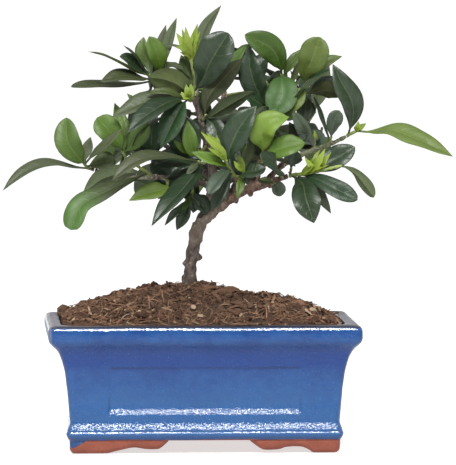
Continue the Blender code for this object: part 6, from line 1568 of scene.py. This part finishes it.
def blade(leaf, index):
    """A fine leaf: points, faces, texture places, sides and colours."""
    rng = random.Random(1000 + index)
    bud = leaf.tip == "bud"
    length = sum((q - p).length for p, q in zip(leaf.points, leaf.points[1:]))
    along_steps = 9 if bud else max(12, min(26, round(length / 1.8)))
    half_steps = 2 if bud else 4
    steps = 60
    frames = leaf.frames(steps)
    top_colour, under_colour, gloss = TONES[leaf.tone]
    shade = rng.uniform(0.86, 1.14)
    warm = rng.uniform(-0.05, 0.05)
    shade *= 0.95
    droop = leaf.shoot == "shoot_left" and leaf.tip == "spoon"
    if droop:
        top_colour, shade, warm = (62, 72, 40), 1.0, 0.0
    tint = [c * shade for c in shown(*top_colour)]
    tint = [tint[0] * (1 + warm), tint[1], tint[2] * (1 - warm)]
    end_tint = shown(78, 112, 50) if droop else tint
    below = [c * rng.uniform(0.9, 1.1) for c in shown(*under_colour)]
    waves, phase = rng.uniform(1.5, 3.0), rng.uniform(0, 6.28)
    ripple = 0.0 if bud else rng.uniform(0.03, 0.09)
    stations = [0.0, 0.03, 0.06] if not bud else [0.0]
    first = leaf.start + 0.01 if not bud else 0.06
    for k in range(along_steps + 1):
        t = k / along_steps
        stations.append(first + (1.0 - first) * (t if bud else 0.5 * t + 0.5 * math.sin(0.5 * math.pi * t)))
    verts, faces, uvs, sides, tints, belows = [], [], [], [], [], []
    profile = []
    for k in range(-half_steps, half_steps + 1):
        s = k / half_steps
        profile.append(math.copysign(abs(s) ** 0.85, s))
    row = 2 * len(profile) - 2
    for s_along in stations:
        pos = s_along * steps
        i = min(int(pos), steps - 1)
        f = pos - i
        p = frames[i][0].lerp(frames[i + 1][0], f)
        along = frames[i][1].lerp(frames[i + 1][1], f).normalized()
        normal = frames[i][2].lerp(frames[i + 1][2], f).normalized()
        across = along.cross(normal).normalized()
        x = (s_along - leaf.start) / (1.0 - leaf.start)
        half = 0.5 * leaf.width * outline(x, leaf.tip) if x > 0 else 0.0
        stalk = 0.5 if not bud else 0.4
        blend = smooth_step(0.3, 1.6, half)
        half = max(half, stalk if x < 0.5 else 0.12)
        thick = stalk * (1.0 - blend) + 0.17 * blend if x < 0.5 else 0.17 * min(1.0, half / 0.8)
        rib = (0.5 * (1.0 - 0.85 * max(0.0, x))) * blend
        for side_sign, order in ((1, profile), (-1, list(reversed(profile))[1:-1])):
            for s in order:
                fold = math.sin(leaf.fold) * abs(s)
                puff = 0.11 * math.sin(math.pi * abs(s)) if not bud else 0.0
                wave = ripple * math.sin(waves * 6.28 * x + phase + (1.2 if s > 0 else 0.0)) * s * s
                edge_thin = 1.0 if abs(s) < 0.9 else 0.0
                # near the stalk the section is round
                round_off = math.sqrt(max(0.0, 1.0 - s * s))
                t_here = thick * (round_off * (1 - blend) + edge_thin * blend)
                deep = t_here + (rib * max(0.0, 1.0 - abs(s) * 4.5) if side_sign < 0 else 0.0)
                h = half * (blend * (fold + puff + wave))
                spread = half * s * (1.0 - (1.0 - math.cos(leaf.fold)) * blend)
                verts.append(p + across * spread + normal * (h + side_sign * deep))
                uvs.append((s_along, 0.5 + 0.5 * s))
                sides.append((0.0 if side_sign > 0 else 1.0, gloss, 0.0))
                k = smooth_step(0.45, 0.85, s_along)
                tints.append([a * (1.0 - k) + b * k for a, b in zip(tint, end_tint)])
                belows.append(below)
    for i in range(len(stations) - 1):
        for k in range(row):
            m = (k + 1) % row
            faces.append((i * row + k, (i + 1) * row + k, (i + 1) * row + m, i * row + m))
    faces.append(tuple(range(row)))
    faces.append(tuple(reversed(range((len(stations) - 1) * row, len(stations) * row))))
    return verts, faces, uvs, sides, tints, belows


def extra_buds(tree, name, rng):
    """Tiny pointed stipules among a shoot's buds."""
    buds = [leaf for leaf in tree.leaves if leaf.shoot == name and leaf.tip == "bud"]
    made = []
    for leaf in buds:
        p, along, normal, across = leaf.frames(10)[4]
        length = sum((b - a).length for a, b in zip(leaf.points, leaf.points[1:]))
        for k in range(2):
            side = across * (1 if k else -1) * leaf.width * 0.22
            start = leaf.frames(10)[2 + 2 * k][0] + side * 0.4
            way = (along + side.normalized() * rng.uniform(0.2, 0.55) + normal * rng.uniform(-0.2, 0.3)).normalized()
            reach = length * rng.uniform(0.3, 0.5)
            small = Leaf(name, [start, start + way * (0.5 * reach) + side * 0.2, start + way * reach], leaf.width * rng.uniform(0.35, 0.5), (0, 0), 12, "bud", "lime")
            small.hint = leaf.hint
            made.append(small)
    return made


def make_fine_shoot(tree, name, number):
    rng = random.Random(300 + number)
    points, radii = tree.stems[name]
    steps = max(6, round(sum((q - p).length for p, q in zip(points, points[1:])) / 1.0))
    line, sizes = resample(points, radii, steps)
    verts, faces = sweep(line, [r * (0.92 + 0.12 * math.cos(i * 1.9)) for i, r in enumerate(sizes)], 10, 0.12, number)
    light = sum(leaf.tone in ("light", "lime", "bright", "lightlime") for leaf in tree.leaves if leaf.shoot == name)
    young, old = shown(134, 158, 74), shown(112, 96, 70)
    shade = 0.55 if light < 1 else 0.15
    if name in ("shoot_right_low", "shoot_front_left", "shoot_centre"):
        young, old = shown(150, 172, 84), shown(138, 150, 78)
    tints = []
    for p in verts:
        near = min(range(len(line)), key=lambda i: (line[i] - p).length_squared)
        f = near / (len(line) - 1)
        mixed = [a * (1 - f) * (0.4 + shade) + b * (1 - (1 - f) * (0.4 + shade)) for a, b in zip(old, young)]
        tints.append(mixed)
    uvs = [(0.5, 0.5)] * len(verts)
    sides = [(0.0, 0.0, 0.0)] * len(verts)
    belows = list(tints)
    slots = [1] * len(faces)
    leaves = [(k, leaf) for k, leaf in enumerate(tree.leaves) if leaf.shoot == name]
    for k, small in enumerate(extra_buds(tree, name, rng)):
        leaves.append((5000 + 40 * number + k, small))
    for k, leaf in leaves:
        v, f, t, s, c, b = blade(leaf, k)
        start = len(verts)
        verts.extend(v)
        faces.extend([tuple(start + i for i in face) for face in f])
        slots.extend([0] * len(f))
        uvs.extend(t)
        sides.extend(s)
        tints.extend(c)
        belows.extend(b)
    obj = new_piece("fine_" + name, verts, faces, LEAF, True, 55.0)
    mesh = obj.data
    mesh.materials.append(STEM)
    mesh.polygons.foreach_set("material_index", slots)
    layer = mesh.uv_layers.new(name="leaf")
    flat = []
    for loop in mesh.loops:
        flat += uvs[loop.vertex_index]
    layer.data.foreach_set("uv", flat)
    colour_layer(mesh, "tint", tints)
    colour_layer(mesh, "below", belows)
    side_layer = mesh.attributes.new("side", "FLOAT_VECTOR", "POINT")
    side_layer.data.foreach_set("vector", [c for s in sides for c in s])
    mesh.update()
    return obj


# ---------------------------------------------------------------- build
def build():
    tree = Tree()
    pot = make_fine_pot()
    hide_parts("pot")
    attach(pot, "root")
    soil = make_fine_soil()
    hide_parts("soil")
    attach(soil, "root")
    wood = make_fine_wood(tree)
    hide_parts("trunk_and_branches")
    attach(wood, "root")
    for number, name in enumerate(tree.stems):
        shoot = make_fine_shoot(tree, name, number)
        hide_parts(name)
        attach(shoot, "root")
    for name in ("drain_screen_left", "drain_screen_right"):
        obj = bpy.data.objects[name]
        obj.data.materials.clear()
        obj.data.materials.append(SCREEN)
    return tree


# ---------------------------------------------------------------- stage, light and camera
def make_stage():
    floor_mat = Nodes("studio_floor")
    p = floor_mat.position()
    grain = floor_mat.noise(p, 40.0, 3.0)
    floor_mat.set(Base_Color=floor_mat.mix(floor_mat.ramp(grain, 0.3, 0.7), (0.56, 0.56, 0.56), (0.59, 0.59, 0.59)), Roughness=0.9)
    floor_mat.shader.inputs["Emission Color"].default_value = (1.0, 1.0, 1.0, 1.0)
    floor_mat.shader.inputs["Emission Strength"].default_value = 0.65
    mesh = bpy.data.meshes.new("studio_floor")
    bm = bmesh.new()
    bmesh.ops.create_grid(bm, x_segments=2, y_segments=2, size=40.0)
    bm.to_mesh(mesh)
    bm.free()
    floor = bpy.data.objects.new("studio_floor", mesh)
    floor.location = (0.0, 0.0, -0.0002)
    mesh.materials.append(floor_mat.mat)
    bpy.context.scene.collection.objects.link(floor)
    world = bpy.data.worlds.new("studio")
    bpy.context.scene.world = world
    world.use_nodes = True
    background = world.node_tree.nodes["Background"]
    background.inputs["Color"].default_value = (1.0, 1.0, 1.0, 1.0)
    background.inputs["Strength"].default_value = 0.5


def softbox(name, location, target, width, height, power):
    lamp = bpy.data.lights.new(name, "AREA")
    lamp.shape = "RECTANGLE"
    lamp.size, lamp.size_y = width, height
    lamp.energy = power
    obj = bpy.data.objects.new(name, lamp)
    obj.location = location
    obj.rotation_euler = (Vector(target) - Vector(location)).to_track_quat("-Z", "Y").to_euler()
    bpy.context.scene.collection.objects.link(obj)


def make_light():
    lamp = bpy.data.lights.new("soft_sky", "SUN")
    lamp.angle = math.radians(50.0)
    lamp.energy = 0.45
    obj = bpy.data.objects.new("soft_sky", lamp)
    obj.rotation_euler = Vector((0.22, 0.45, -1.0)).to_track_quat("-Z", "Y").to_euler()
    bpy.context.scene.collection.objects.link(obj)
    softbox("strip_softbox", (-0.1, -0.95, 0.95), (-0.01, -0.05, 0.05), 0.9, 0.22, 28.5)


def make_camera():
    cam = bpy.data.cameras.new("photo_view")
    cam.sensor_fit = "HORIZONTAL"
    cam.sensor_width = 36.0
    cam.lens = 36.0 * GRID_SCALE / 456.0
    cam.clip_start, cam.clip_end = 0.1, 100.0
    obj = bpy.data.objects.new("photo_view", cam)
    turn = Matrix((RIGHT, UPWARD, -FORWARD)).transposed().to_4x4()
    obj.matrix_world = Matrix.Translation(place(EYE)) @ turn
    bpy.context.scene.collection.objects.link(obj)
    bpy.context.scene.camera = obj


build()
make_stage()
make_light()
make_camera()
bpy.context.scene.view_settings.view_transform = "Standard"
bpy.context.view_layer.update()
